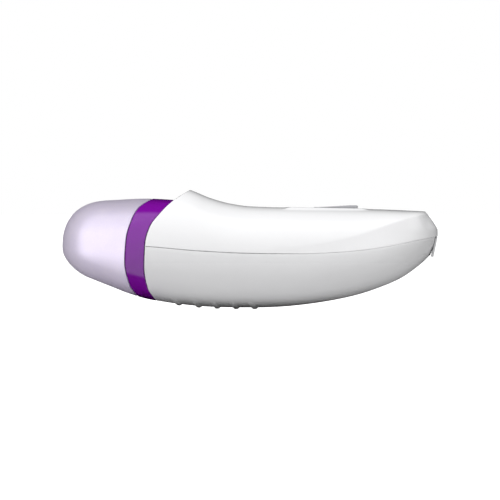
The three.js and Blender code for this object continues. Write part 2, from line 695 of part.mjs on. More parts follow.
function motorEndCap() {
  const plate = rod('x', MOTOR_RADIUS, MOTOR_X[1] + GAP, MOTOR_X[1] + 3, [0, 0], 24);
  const terminals = [-4, 4].map((y) => box([MOTOR_X[1] + 2.8, 14.3], [y - 1, y + 1], [-0.3, 0.3]));
  const bearing = rod('x', 1.4, MOTOR_X[1], MOTOR_X[1] + 2.2, [0, 0], 12);
  return build([plate, ...terminals], [bearing]);
}

function crownGear() {
  const disc = rod('y', CROWN_PITCH + 1, MOTOR_PITCH + 0.65, 5.3, [0, 0], 32);
  const hub = rod('y', 3, 5, 15, [0, 0], 16);
  const pinion = prism('y', gearOutline(TRANSFER_TEETH, 0.5), 14.9, 16.5);
  const tipY = MOTOR_PITCH - 0.5;
  const teeth = Array.from({ length: CROWN_TEETH }, (_, i) => {
    const tooth = prism('x', [[tipY, -0.19], [tipY, 0.19], [3.25, 0.64], [3.25, -0.64]], 8.8, 10.4);
    return tooth.rotateY(2 * Math.PI * (i + 0.5) / CROWN_TEETH);
  });
  const bore = rod('y', BORE_RADIUS, 0, 20, [0, 0], 16);
  return build([disc, hub, pinion, ...teeth], [bore]);
}

function spurGear(teeth, phase, bore) {
  return prism('y', gearOutline(teeth, phase), GEAR_Y[0], GEAR_Y[1], [circle(bore, 16)]);
}

const PLATE_X = [-23.8, -21.8];
const MID_PLATE_Y = [12.2, 14.2];
const OUTER_PLATE_Y = [17.2, 18.6];

function gearboxFrame() {
  const z = (height) => height - SHAFT_Z;
  const shaftHole = (x, from, to, radius = SHAFT_RADIUS + GAP) => rod('y', radius, from, to, [0, x], 16);
  const motorPlate = box(PLATE_X, [-13, 13], [z(GEARBOX_FOOT_Z[0]), z(42)]);
  const sidePlate = box(PLATE_X, [12, OUTER_PLATE_Y[1]], [z(20), z(36)]);
  const foot = box([-40, PLATE_X[1]], [-11, 11], GEARBOX_FOOT_Z.map(z));
  const arm = box([-40, PLATE_X[1]], [-0.8, 1.2], [z(12), z(20)]);
  const upright = box([-40, -31.6], [-0.8, 1.2], [z(19), z(32)]);
  const midPlate = box([-49, PLATE_X[1]], MID_PLATE_Y, [z(22), z(34)]);
  const outerPlate = box([-49, PLATE_X[1]], OUTER_PLATE_Y, [z(22), z(33)]);
  const cuts = [
    rod('x', 4, -30, -15, [0, 0], 16),
    shaftHole(CROWN_X, -2, 2),
    shaftHole(CROWN_X, 12, 15, 3.8),
    shaftHole(CROWN_X, 16, 20),
    shaftHole(DRIVE_X, 12, 15),
    shaftHole(DRIVE_X, 16, 20),
    ...GEARBOX_POSTS.map((place) => rod('z', SCREW_BORE, z(10), z(14), place, 12)),
  ];
  return build([motorPlate, sidePlate, foot, arm, upright, midPlate, outerPlate], cuts);
}

add(driveTrain, 'gearbox_frame', gearboxFrame(), MATERIALS.acetal);
add(driveTrain, 'motor_can', motorCan(), MATERIALS.zinc);
add(driveTrain, 'motor_end_cap', motorEndCap(), MATERIALS.black);
add(driveTrain, 'motor_shaft', rod('x', 1, -27.9, 10.4, [0, 0], 12), MATERIALS.steel);
add(driveTrain, 'motor_armature', build([rod('x', 9, -18, 5.5, [0, 0], 20)],
  [rod('x', 1.3, -20, 8, [0, 0], 12)]), MATERIALS.copper);
add(driveTrain, 'motor_pinion', build([prism('x', gearOutline(MOTOR_TEETH, 0), -27.6, -24.2)],
  [rod('x', 1.3, -30, -20, [0, 0], 12)]), MATERIALS.acetal);
add(driveTrain, 'transfer_shaft', rod('y', SHAFT_RADIUS, -0.8, 18.6, [0, 0]), MATERIALS.steel,
  [CROWN_X, 0, 0]);
add(driveTrain, 'drive_gear_shaft', rod('y', SHAFT_RADIUS, 12.2, 18.6, [0, 0]), MATERIALS.steel,
  [DRIVE_X, 0, 0]);
add(driveTrain, 'crown_gear', crownGear(), MATERIALS.acetal, [CROWN_X, 0, 0]);
add(driveTrain, 'drive_gear', spurGear(DRIVE_TEETH, 0, BORE_RADIUS), MATERIALS.acetal, [DRIVE_X, 0, 0]);
GEARBOX_POSTS.forEach(([x, y], i) => {
  add(driveTrain, `gearbox_screw_${i + 1}`, screw(), MATERIALS.zinc,
    [x, y, GEARBOX_FOOT_Z[1] + GAP - SHAFT_Z]);
});

// ---------------------------------------------------------------------------------------------------
// Head
// ---------------------------------------------------------------------------------------------------

const COVER_FRONT = -71.2;
const EAR_Y = { left: [-17, -14.9], right: [16.9, 18.2] };
const BUSH_RADIUS = 2.5;
const JOURNAL_RADIUS = 1.5;
const HEAD_PIN_RADIUS = 1;
const EAR_RADIUS = 3.6;
const PRESSURE_PLATE_RADIUS = 4.5;

function headCover() {
  const envelope = headBody(COVER_INSET, at(NOSE_X + COVER_INSET), shift(capEdge, -GAP),
    noseStations(8));
  const hollow = headBody(COVER_INSET + COVER_WALL, at(NOSE_X + COVER_INSET + COVER_WALL),
    shift(capEdge, 3), noseStations(8));
  const front = box([-90, COVER_FRONT], [-40, 40], [0, 60]);
  const behindFront = box([COVER_FRONT + COVER_WALL, -30], [-40, 40], [0, 60]);
  const slot = box([-80, -60], [-14, 14], [SHAFT_Z - 7.4, SHAFT_Z + 7.4]);
  const inside = solid(hollow).intersect(solid(behindFront));
  return geometryOf(solid(envelope).subtract(solid(front)).subtract(inside).subtract(solid(slot)));
}

// Half circle round the drum's axis, open to the handle.
function roundTip(radius, count) {
  return steps(-90, 90, count).map((degrees) => {
    const angle = THREE.MathUtils.degToRad(degrees);
    return [SHAFT_Z + radius * Math.sin(angle), DRUM_X - radius * Math.cos(angle)];
  });
}

function headFrame() {
  const inset = COVER_INSET + COVER_WALL + GAP;
  const base = headBody(inset, shift(capEdge, -2.1), shift(capEdge, -GAP), [0, 1]);
  const ears = Object.values(EAR_Y).map(([from, to]) => {
    const tip = roundTip(EAR_RADIUS, 8);
    return prism('y', [...tip, [SHAFT_Z + 6, -54], [SHAFT_Z - 6, -54]], from, to);
  });
  const tongues = TONGUE_Z.map((span) => (
    box([-53.5, -43], [-TONGUE_HALF_WIDTH, TONGUE_HALF_WIDTH], span)
  ));
  const cuts = [
    box([-60, -40], GEAR_WINDOW_Y, [SHAFT_Z - 6.3, SHAFT_Z + 6.3]),
    rod('y', BUSH_RADIUS + GAP, -20, 20, [SHAFT_Z, DRUM_X], 16),
    rod('y', HEAD_PIN_RADIUS + GAP, 16.5, 20, [SHAFT_Z, HEAD_GEAR_X], 12),
  ];
  const envelope = headBody(inset, at(NOSE_X + inset), shift(capEdge, 14), noseStations(5));
  return build([base, ...ears, ...tongues], cuts, envelope);
}

function pressurePlate(from, to) {
  const radius = PRESSURE_PLATE_RADIUS;
  const outline = [...roundTip(radius, 10), [SHAFT_Z + radius, -55.4], [SHAFT_Z - radius, -55.4]];
  return prism('y', outline, from, to, [circle(2, 16, [SHAFT_Z, DRUM_X])]);
}

add(head, 'head_cover', headCover(), MATERIALS.white);
add(head, 'head_frame', headFrame(), MATERIALS.inner);
add(head, 'pressure_plate_left', pressurePlate(-14.4, -13.6), MATERIALS.steel);
add(head, 'pressure_plate_right', pressurePlate(13.6, 14.4), MATERIALS.steel);
add(head, 'axle_bush_left', tube('y', BUSH_RADIUS, JOURNAL_RADIUS + 0.15, -17.2, -14.7), MATERIALS.acetal,
  [DRUM_X, 0, SHAFT_Z]);
add(head, 'axle_bush_right', tube('y', BUSH_RADIUS, JOURNAL_RADIUS + 0.15, 16.7, 18.2),
  MATERIALS.acetal, [DRUM_X, 0, SHAFT_Z]);
add(head, 'head_gear_pin', rod('y', HEAD_PIN_RADIUS, 14.5, 18.2, [0, 0], 12), MATERIALS.steel,
  [HEAD_GEAR_X, 0, SHAFT_Z]);
add(head, 'head_gear', spurGear(HEAD_GEAR_TEETH, 0.5, HEAD_PIN_RADIUS + 0.2), MATERIALS.acetal,
  [HEAD_GEAR_X, 0, SHAFT_Z]);

// ---------------------------------------------------------------------------------------------------
// Drum of tweezer discs
// ---------------------------------------------------------------------------------------------------

function drumAxle() {
  const hexagon = circle(2.5 / Math.cos(Math.PI / 6), 6);
  const journal = rod('y', JOURNAL_RADIUS, -18, 18, [0, 0], 12);
  return build([prism('y', hexagon, -13.3, 13.3), journal]);
}

add(drum, 'drum_axle', drumAxle(), MATERIALS.steel);
add(drum, 'drum_gear', spurGear(DRUM_TEETH, 0, JOURNAL_RADIUS + GAP), MATERIALS.acetal);
for (let i = 0; i < DISC_COUNT; i += 1) {
  const half = DISC_THICKNESS / 2;
  const disc = tube('y', DISC_RADIUS, DISC_BORE, -half, half, [0, 0], 14);
  const y = (i - (DISC_COUNT - 1) / 2) * DISC_PITCH;
  add(drum, `tweezer_disc_${String(i + 1).padStart(2, '0')}`, disc, MATERIALS.steel, [0, y, 0]);
}

export default epilator;
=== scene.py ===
"""Corded epilator: its visible pieces, finishes and studio, laid out as an add-on.

The moving frame comes from the CAD model. The pieces below stand for its outer nodes with fine surfaces,
and every other node keeps its own mesh and gets a finish. Shapes are worked out in millimetres and laid
down in metres: +X runs to the cord inlet, -X to the tweezer head, +Z to the face with the switch.
"""

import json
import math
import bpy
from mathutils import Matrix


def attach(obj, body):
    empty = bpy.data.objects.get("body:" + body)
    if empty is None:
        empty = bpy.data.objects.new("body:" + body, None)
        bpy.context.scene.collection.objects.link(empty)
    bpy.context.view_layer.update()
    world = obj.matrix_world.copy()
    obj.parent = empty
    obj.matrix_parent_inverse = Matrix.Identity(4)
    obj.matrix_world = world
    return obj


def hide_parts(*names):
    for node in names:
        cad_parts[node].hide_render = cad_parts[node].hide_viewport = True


bl_info = {
    "name": "Epilator",
    "version": (1, 0, 0),
    "blender": (4, 5, 0),
    "location": "3D View > Sidebar > Epilator",
    "description": "Models and finishes a corded epilator round its CAD frame",
    "category": "Object",
}

import bpy
import numpy as np
from bpy.props import FloatProperty, FloatVectorProperty, IntProperty, PointerProperty
from mathutils import Vector

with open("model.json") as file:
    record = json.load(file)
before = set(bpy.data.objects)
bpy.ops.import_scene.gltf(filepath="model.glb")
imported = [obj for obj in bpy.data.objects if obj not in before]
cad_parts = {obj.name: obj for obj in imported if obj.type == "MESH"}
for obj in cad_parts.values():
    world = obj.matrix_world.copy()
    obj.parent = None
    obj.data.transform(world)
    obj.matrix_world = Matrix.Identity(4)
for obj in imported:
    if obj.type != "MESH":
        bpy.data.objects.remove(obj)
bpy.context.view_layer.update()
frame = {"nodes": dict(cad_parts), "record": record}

MM = 0.001
SEAM = 0.15  # half of the gap between two outer pieces
SHELL_WALL = 2.2
CAP_WALL = 1.6
RING_WALL = 2.8
COVER_INSET = 2.5
COVER_WALL = 1.5
NECK_INSET = 2.7
PARTING_GAP = 0.04  # half of the gap between the two shells, along their seam
SHAFT_Z = 28.0
GRIP_HALF_LENGTH = 11.5
RIB_X = (-30.4, -21.9, -14.0, -5.9, 2.0)
RIB_SWEEP = 3.5
TRACK = {"x": 32.5, "half_length": 15.0, "half_width": 5.6, "depth": 0.5, "lip": 0.2}
SLOT = {"x": 33.0, "half_length": 6.7, "half_width": 1.6}
TRACK_STEP = 0.4  # width of the recess's soft edge
FLAT_Y = 8.0  # up to here the front's rows keep their distance from the middle
CREASE_TOP = 41.1  # where the crease meets the tail's top corner
TAIL_START = 50.0
INLET_SLOPE = 0.205
INLET_Z = 26.6


# --------------------------------------------------------------------------------------------------
# Settings that a user would change
# --------------------------------------------------------------------------------------------------


def length(name, description, default_mm):
    return FloatProperty(
        name=name, description=description, default=default_mm * MM, min=0, subtype="DISTANCE", unit="LENGTH"
    )


def colour(name, description, default):
    return FloatVectorProperty(
        name=name, description=description, default=default, size=3, min=0, max=1, subtype="COLOR"
    )


class EpilatorSizes(bpy.types.PropertyGroup):
    """Small sizes of the fine pieces."""

    edge_round: length("Edge round", "Width of the rounded edges of the shells", 0.22)
    ring_edge: length("Ring edge", "Width of the rounded edges of the trim ring", 0.34)
    rib_height: length("Rib height", "How far a grip rib stands out of the back", 0.68)
    rib_width: length("Rib width", "Width of a grip rib at its foot", 3.0)
    knob_edge: length("Knob edge", "Rounding of the switch knob", 0.35)
    around: IntProperty(name="Points around", description="Points round the head", default=144, min=24)


class EpilatorColours(bpy.types.PropertyGroup):
    """Base colours, linear."""

    shell: colour("Shell", "Glossy white of the housings", (0.86, 0.86, 0.87))
    cap: colour("Cap", "Pale lilac of the protective cap", (0.72, 0.66, 0.88))
    cap_glow: colour("Cap glow", "Pink pearl of the protective cap", (0.88, 0.80, 0.90))
    ring: colour("Ring", "Purple of the trim ring", (0.19, 0.004, 0.30))
    grey: colour("Grey", "Switch knob and inlet plate", (0.42, 0.42, 0.44))
    frame: colour("Frame", "Unpolished inner plastic", (0.60, 0.60, 0.62))
    acetal: colour("Acetal", "Gears and bushes", (0.80, 0.77, 0.68))


# --------------------------------------------------------------------------------------------------
# The body's curves, in millimetres
# --------------------------------------------------------------------------------------------------


def smooth(points):
    """A monotone cubic curve through (input, output) points, level outside them."""
    inputs, outputs = np.array(points, float).T
    steps = np.diff(inputs)
    grades = np.diff(outputs) / steps
    slopes = np.zeros(len(inputs))
    slopes[0] = grades[0]
    slopes[-1] = grades[-1]
    for i in range(1, len(inputs) - 1):
        if grades[i - 1] * grades[i] > 0:
            before = 2 * steps[i] + steps[i - 1]
            after = steps[i] + 2 * steps[i - 1]
            slopes[i] = (before + after) / (before / grades[i - 1] + after / grades[i])

    def curve(value):
        value = np.clip(value, inputs[0], inputs[-1])
        i = np.clip(np.searchsorted(inputs, value, "right") - 1, 0, len(steps) - 1)
        t = (value - inputs[i]) / steps[i]
        start = (1 + 2 * t) * (1 - t) ** 2 * outputs[i] + t * (1 - t) ** 2 * steps[i] * slopes[i]
        end = t * t * (3 - 2 * t) * outputs[i + 1] + t * t * (t - 1) * steps[i] * slopes[i + 1]
        return start + end

    return curve


head_top = smooth([(-80, 45.6), (-60, 46.4), (-44, 47.1), (-33, 46.6), (-20, 45.5)])
head_bottom = smooth(
    [(-80, 17.7), (-68.3, 13.2), (-59.7, 9.8), (-51.2, 6.5), (-42.7, 4.05), (-29.9, 2.1), (-20, 1.2)]
)
handle_top = smooth(
    [(-45, 55), (-33, 52.6), (-25.6, 50.8), (-17.1, 47.4), (-8.5, 45), (0, 43.8), (12.8, 43.35),
     (38.4, 42.9), (55.5, 42.5), (74.9, 41.6)]
)
handle_bottom = smooth(
    [(-42.7, 4.05), (-29.9, 2.1), (-17.1, 0.95), (-4.3, 0.65), (4.3, 0.65), (12.8, 0.95), (21.3, 1.7),
     (29.9, 2.85), (38.4, 4.35), (46.9, 6.4), (55.5, 9.3), (64, 13), (71.7, 18.3), (76, 22.2), (80, 27.5)]
)
half_width = smooth(
    [(-80, 22.8), (-64, 24.3), (-50, 25.5), (-40, 25.3), (-25, 24.4), (0, 22.7), (20, 22.05), (45, 22)]
)
parting_z = smooth(
    [(-80, 26.5), (-50, 27), (-21, 24.9), (0, 23.9), (21, 23.7), (40, 24.5), (55, 26.2), (70, 29.1),
     (80, 31.1)]
)
cap_edge = smooth(
    [(0, -43), (5.8, -48.3), (10, -51.2), (20, -53.3), (30, -52.7), (38.5, -50.3), (43.5, -47.4), (50, -36)]
)
shell_edge = smooth(
    [(0, -36.5), (4, -40.3), (9, -43.6), (18, -45.1), (28, -44.7), (35, -42.8), (41.5, -37.9), (46.5, -32.6),
     (50.8, -25.8), (56, -17)]
)
tail_edge = smooth([(22.7, 78.3), (25.5, 79), (31, 80), (33.6, 80), (36.1, 78.8), (41.6, 74.7), (43, 73.5)])
arch_width = smooth([(0, 22.71), (10, 22.35), (25, 22.1), (45, 22.1), (60, 22.2), (80, 22.6)])
arch_power = smooth([(30, 2.2), (45, 2.3), (52, 2.5), (60, 3.0), (67.4, 3.8), (75.4, 7), (80, 7)])
crease_rise = smooth(
    [(10, 0.3), (20, 2.4), (30.6, 4.2), (37.5, 5.2), (51.9, 7.8), (58.9, 9.3), (67.4, 10.2), (75.4, 10.9)]
)


def rear_edge(z):
    """x of the rear shell's end, which lies behind the inlet plate."""
    return 80 - (31.1 - z) * INLET_SLOPE - 1.1


def rounding(distance, reach, power):
    inside = np.clip((reach - distance) / reach, 0, 1)
    return (1 - inside**power) ** (1 / power)


def head_point(x, row, inset):
    """(y, z) of the head's half section; row runs from 0 at the top to 1 at the bottom."""
    depth = x + 80 - inset
    middle = parting_z(x)
    upper = (head_top(x) - inset - middle) * rounding(depth, 20, 2.4)
    lower = (middle - head_bottom(x) - inset) * rounding(depth, 11.5, 2.2)
    width = (half_width(x) - inset) * rounding(depth, 16, 2.5)
    cos = np.cos(row * math.pi)
    rise = np.sign(cos) * np.abs(cos) ** (2 / 2.4)
    return width * np.abs(np.sin(row * math.pi)) ** (2 / 2.4), middle + rise * np.where(cos > 0, upper, lower)


def tail_rounding(x, z):
    reach = tail_edge(z) + 1 - TAIL_START
    return rounding(reach - np.maximum(x - TAIL_START, 0), reach, 2.6)


def arch_width_at(x):
    return np.where(x < 10, half_width(x) + 0.01, arch_width(x))


def arch_at(x, z):
    rise = np.clip((z - parting_z(x)) / (handle_top(x) - parting_z(x)), 0, 1)
    power = arch_power(x)
    return arch_width_at(x) * (1 - rise**power) ** (1 / power)


def facet_at(x, z):
    """The flat flank between the crease and the seam."""
    share = (z - parting_z(x)) / (crease_z(x) - parting_z(x))
    return half_width(x) + (arch_at(x, crease_z(x)) - half_width(x)) * share


def crease_z(x):
    """Height of the crease between the front face's arch and the flat flank."""
    return np.minimum(parting_z(x) + crease_rise(x), CREASE_TOP)


def front_point(x, row):
    """(y, z) of the front shell: row 0 to 1 up to FLAT_Y, 1 to 2 down to the crease, 2 to 3 to the seam."""
    parting = parting_z(x)
    height = handle_top(x) - parting
    width = arch_width_at(x)
    half_power = arch_power(x) / 2
    flat_angle = np.arcsin((FLAT_Y / width) ** half_power)
    crease = crease_z(x)
    crease_angle = np.arccos(np.clip((crease - parting) / height, 0, 1) ** half_power)
    near_angle = np.arcsin(np.clip(row * FLAT_Y / width, 0, 1) ** half_power)
    far_angle = flat_angle + (crease_angle - flat_angle) * (row - 1)
    angle = np.where(row < 1, near_angle, far_angle)
    on_arch = parting + height * np.cos(np.clip(angle, 0, math.pi / 2)) ** (1 / half_power)
    on_facet = crease - (crease - parting - PARTING_GAP) * (row - 2)
    z = np.where(row <= 2, on_arch, on_facet)
    near_y = row * FLAT_Y
    far_y = np.where(row <= 2, arch_at(x, z), facet_at(x, z))
    return np.where(row < 1, near_y, far_y) * tail_rounding(x, z), z


def rear_point(x, row):
    """(y, z) of the rear shell: row runs from 0 at the seam to 1 at the bottom."""
    angle = row * math.pi / 2
    top = parting_z(x) - PARTING_GAP
    z = top - (top - handle_bottom(x)) * np.sin(angle) ** (2 / 2.4)
    return half_width(x) * np.maximum(np.cos(angle), 0) ** (2 / 2.4) * tail_rounding(x, z), z


def sheet_points(point, start, end, rows, stations):
    """Points (station, row, xyz) of a half section swept between two edges that bend with height."""
    rows = np.asarray(rows, float)

    def meet(edge):
        x = edge(np.full(len(rows), SHAFT_Z))
        for _ in range(40):
            x = edge(point(x, rows)[1])
        return x

    first, last = meet(start), meet(end)
    stations = np.asarray(stations, float)
    if stations.max() > 1:
        share = (stations[:, None] - first) / (last - first)
        x = first + (last - first) * np.clip(share, 0, 1)
    else:
        x = first + (last - first) * stations[:, None]
    y, z = point(x, np.broadcast_to(rows, x.shape))
    return np.stack([x, y, z], axis=-1)


# --------------------------------------------------------------------------------------------------
# Modelling helpers
# --------------------------------------------------------------------------------------------------


def start_piece():
    """Deselects everything, so that the next primitive is alone."""
    if bpy.context.object and bpy.context.object.mode != "OBJECT":
        bpy.ops.object.mode_set(mode="OBJECT")
    bpy.ops.object.select_all(action="DESELECT")


def coordinates(piece):
    found = np.empty(len(piece.data.vertices) * 3)
    piece.data.vertices.foreach_get("co", found)
    return found.reshape(-1, 3)


def place_points(piece, points_mm):
    piece.data.vertices.foreach_set("co", (np.asarray(points_mm) * MM).ravel())
    piece.data.update()


def sheet(name, points, closed=False):
    """A grid primitive laid over (station, row, xyz) points in millimetres, with its doubles merged."""
    stations, rows = points.shape[:2]
    start_piece()
    bpy.ops.mesh.primitive_grid_add(x_subdivisions=rows - 1, y_subdivisions=stations - 1, size=1)
    piece = bpy.context.object
    piece.name = name
    place_points(piece, points.reshape(-1, 3))
    bpy.ops.object.mode_set(mode="EDIT")
    bpy.ops.mesh.select_all(action="SELECT")
    bpy.ops.mesh.remove_doubles(threshold=0.004 * MM)
    bpy.ops.mesh.normals_make_consistent(inside=False)
    bpy.ops.object.mode_set(mode="OBJECT")
    if not closed:
        face_away(piece)
    return piece


def face_away(piece):
    """Turns an open shell's faces so that they look away from the shaft's line."""
    total = sum(
        (f.center - Vector((f.center.x, 0, SHAFT_Z * MM))).dot(f.normal) * f.area
        for f in piece.data.polygons
    )
    if total < 0:
        bpy.ops.object.mode_set(mode="EDIT")
        bpy.ops.mesh.select_all(action="SELECT")
        bpy.ops.mesh.flip_normals()
        bpy.ops.object.mode_set(mode="OBJECT")


def apply_modifier(piece, kind, name, **settings):
    modifier = piece.modifiers.new(name, kind)
    for key, value in settings.items():
        setattr(modifier, key, value)
    bpy.context.view_layer.objects.active = piece
    bpy.ops.object.modifier_apply(modifier=modifier.name)


def give_wall(piece, thickness_mm):
    """Gives an open shell its thickness, inwards."""
    apply_modifier(piece, "SOLIDIFY", "Wall", thickness=thickness_mm * MM, offset=-1, use_even_offset=False)


def select_edges(piece, chosen):
    """Selects the edges that chosen(middle_mm, edge angle) accepts, and leaves the piece in edit mode."""
    angles = {}
    for polygon in piece.data.polygons:
        for key in polygon.edge_keys:
            angles.setdefault(key, []).append(polygon.normal.copy())
    bpy.context.view_layer.objects.active = piece
    bpy.ops.object.mode_set(mode="EDIT")
    bpy.ops.mesh.select_all(action="DESELECT")
    bpy.ops.mesh.select_mode(type="EDGE")
    bpy.ops.object.mode_set(mode="OBJECT")
    points = coordinates(piece) / MM
    for edge in piece.data.edges:
        normals = angles.get(edge.key, [])
        if len(normals) == 2:
            bend = math.degrees(normals[0].angle(normals[1], 0))
            edge.select = bool(chosen((points[edge.vertices[0]] + points[edge.vertices[1]]) / 2, bend))
    bpy.ops.object.mode_set(mode="EDIT")


def round_edges(piece, width, segments=3, bend=40, where=lambda middle: True):
    """Bevels the edges that turn by more than bend degrees, where a test on their middle holds."""
    select_edges(piece, lambda middle, angle: angle > bend and where(middle))
    bpy.ops.mesh.bevel(offset=width, segments=segments, affect="EDGES", clamp_overlap=False)
    bpy.ops.object.mode_set(mode="OBJECT")


def smooth_faces(piece, angle=35):
    start_piece()
    piece.select_set(True)
    bpy.context.view_layer.objects.active = piece
    bpy.ops.object.shade_smooth_by_angle(angle=math.radians(angle))


def settle(piece, body, nodes, material, angle=35):
    """Brings a finished piece to the origin, shades it, paints it and hangs it on its CAD body."""
    smooth_faces(piece, angle)
    bpy.ops.object.transform_apply(location=True, rotation=True, scale=True)
    piece.data.materials.clear()
    piece.data.materials.append(material)
    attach(piece, body)
    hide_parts(*nodes)
    return piece


def spread(start, end, count, ends=0.0):
    """Values from start to end, closer together near both ends as ends goes from 0 to 1."""
    t = np.linspace(0, 1, count + 1)
    eased = 0.5 - 0.5 * np.cos(t * math.pi)
    return start + (end - start) * (t * (1 - ends) + eased * ends)


def merged(*groups):
    """Sorted values of several lists, with near doubles left out."""
    values = np.sort(np.concatenate([np.atleast_1d(g).astype(float) for g in groups]))
    keep = np.concatenate([[True], np.diff(values) > 1e-4])
    return values[keep]


def round_head(inset, start, end, stations, around):
    """Points of the head's whole envelope between two edges, its first and last rows meeting."""
    half = np.linspace(0, 1, around // 2 + 1)
    points = sheet_points(lambda x, row: head_point(x, row, inset), start, end, half, stations)
    other = points[:, ::-1] * (1, -1, 1)
    return np.concatenate([points, other[:, 1:]], axis=1)


def ride_edge(edge, distance):
    return lambda z: edge(z) + distance


# --------------------------------------------------------------------------------------------------
# Outer shells
# --------------------------------------------------------------------------------------------------


def make_cap(sizes):
    nose = 1 - np.cos(np.linspace(0, 1, 72) * math.pi / 2)
    points = round_head(0, lambda z: z * 0 - 80, ride_edge(cap_edge, -SEAM), nose, sizes.around)
    cap = sheet("protective_cap_shell", points)
    give_wall(cap, CAP_WALL)
    round_edges(cap, sizes.edge_round * 1.2, 3)
    return settle(cap, "cap", ["protective_cap"], finishes.pearl_cap())


def make_ring(sizes):
    stations = spread(0, 1, 26, 0.3)
    points = round_head(0, ride_edge(cap_edge, SEAM), ride_edge(shell_edge, -SEAM), stations, sizes.around)
    ring = sheet("trim_ring_band", points)
    give_wall(ring, RING_WALL)
    round_edges(ring, sizes.ring_edge, 4)
    return settle(ring, "handle", ["trim_ring"], finishes.purple_gloss())


def neck_point(outer):
    """Points where the lines from outer points to the shaft's line meet the neck's envelope."""
    low = np.full(outer.shape[0], 0.3)
    high = np.ones(outer.shape[0])
    for _ in range(30):
        share = (low + high) / 2
        y = outer[:, 1] * share
        z = SHAFT_Z + (outer[:, 2] - SHAFT_Z) * share
        x = shell_edge(z) + SEAM
        middle = parting_z(x)
        half = np.where(z > middle, head_top(x) - middle, middle - head_bottom(x)) - NECK_INSET
        inside = (np.abs(y) / (half_width(x) - NECK_INSET)) ** 2.4 + (np.abs(z - middle) / half) ** 2.4 < 1
        low = np.where(inside, share, low)
        high = np.where(inside, high, share)
    return np.stack([shell_edge(z) + SEAM, y, z], axis=-1)


def front_wall(first, shares):
    """Stations from the neck's hole out to a shell's first station, on the bent plane between them."""
    inner = neck_point(first)
    wall = []
    for share in shares:
        between = inner + (first - inner) * share
        between[:, 0] = shell_edge(between[:, 2]) + SEAM
        wall.append(between)
    return np.stack(wall)


def warp_stations(stations, first, last, fixed_from, fixed_to):
    """x for each station and row: the stations hold their x between two places and stretch outside them."""
    start = stations.min()
    end = stations.max()
    s = stations[:, None]
    before = first + (s - start) * (fixed_from - first) / (fixed_from - start)
    after = fixed_to + (s - fixed_to) * (last - fixed_to) / (end - fixed_to)
    return np.where(s < fixed_from, before, np.where(s > fixed_to, after, s + first * 0))


def edge_places(point, edge, rows):
    x = edge(np.full(len(rows), SHAFT_Z))
    for _ in range(40):
        x = edge(point(x, rows)[1])
    return x


def mirrored(points, seam_last=True):
    """A half sheet and its mirror image in Y, as one run of rows."""
    other = points[:, ::-1] * (1, -1, 1)
    return np.concatenate([other, points[:, 1:]] if seam_last else [other[:, :-1], points], axis=1)


def step_down(value, edge, width):
    """1 inside an edge and 0 outside it, with a soft step of some width between."""
    t = np.clip((edge - value) / width + 0.5, 0, 1)
    return t * t * (3 - 2 * t)


def around_edge(place):
    return place + np.array([-0.6, -0.25, -0.12, 0, 0.12, 0.25, 0.6])


def make_front(sizes):
    track_rows = around_edge(TRACK["half_width"]) / FLAT_Y
    slot_row = SLOT["half_width"] / FLAT_Y
    rows = merged(
        np.linspace(0, slot_row, 3), np.linspace(slot_row, track_rows[0], 6), track_rows,
        np.linspace(track_rows[-1], 1, 4), spread(1, 2, 22)[1:-1], [1.955, 2, 2.06], np.linspace(2.2, 3, 9)
    )
    track = [TRACK["x"] - TRACK["half_length"], TRACK["x"] + TRACK["half_length"]]
    slot = [SLOT["x"] - SLOT["half_length"], SLOT["x"] + SLOT["half_length"]]
    stations = merged(
        np.linspace(-45.1, 10, 62), np.arange(10, track[0] - 0.7, 1.2), around_edge(track[0]),
        np.linspace(track[0] + 0.6, slot[0], 8), np.linspace(slot[0], slot[1], 12),
        np.linspace(slot[1], track[1] - 0.6, 8), around_edge(track[1]), np.linspace(track[1] + 0.6, 80, 34)
    )
    first = edge_places(front_point, ride_edge(shell_edge, SEAM), rows)
    last = edge_places(front_point, tail_edge, rows)
    x = warp_stations(stations, first, last, 10, 55)
    y, z = front_point(x, np.broadcast_to(rows, x.shape))
    off = np.abs(x - TRACK["x"])
    lip = step_down(off, TRACK["half_length"] + 2, 3) * step_down(np.abs(y), TRACK["half_width"] + 1.3, 1.8)
    z = z + (handle_top(x) + TRACK["lip"] - z) * lip
    along = step_down(off, TRACK["half_length"], TRACK_STEP)
    z = z - TRACK["depth"] * along * step_down(np.abs(y), TRACK["half_width"], TRACK_STEP)
    body = np.stack([x, y, z], axis=-1)

    wall = front_wall(body[0], [0, 0.35, 0.7, 0.9])
    rim = body[-1]
    foot = parting_z(rim[:, 0]) + PARTING_GAP
    spine_z = foot + (rim[:, 2] - foot) * 0.5
    tail = []
    for share in (0.12, 0.24, 0.36, 0.48, 0.6, 0.72, 0.84, 1.0):
        z_end = rim[:, 2] + (spine_z - rim[:, 2]) * share
        tail.append(np.stack([tail_edge(z_end), rim[:, 1] * (1 - share), z_end], axis=-1))
    whole = mirrored(np.concatenate([wall, body, np.stack(tail)]), seam_last=True)
    shell = sheet("front_housing_shell", whole)
    cut_slot(shell)
    give_wall(shell, SHELL_WALL)
    round_edges(shell, sizes.edge_round, 3, 38, lambda m: not_in_track(m) and off_shaft(m))
    keep_in_width(shell)
    return settle(shell, "handle", ["front_housing"], finishes.white_gloss(), 30)


def off_shaft(middle):
    """Whether a place lies away from the shaft's line, where a shell's end comes to a point."""
    return abs(middle[1]) + abs(middle[2] - SHAFT_Z) > 6


def keep_in_width(shell):
    """Draws in the corners that rounding has pushed past the shell's side."""
    points = coordinates(shell) / MM
    reach = half_width(points[:, 0])
    points[:, 1] = np.clip(points[:, 1], -reach, reach)
    place_points(shell, points)


def not_in_track(middle):
    """Whether a place lies off the switch recess, whose walls have their rounding already."""
    inside_x = abs(middle[0] - TRACK["x"]) < TRACK["half_length"] + 1
    return not (inside_x and abs(middle[1]) < TRACK["half_width"] + 1)


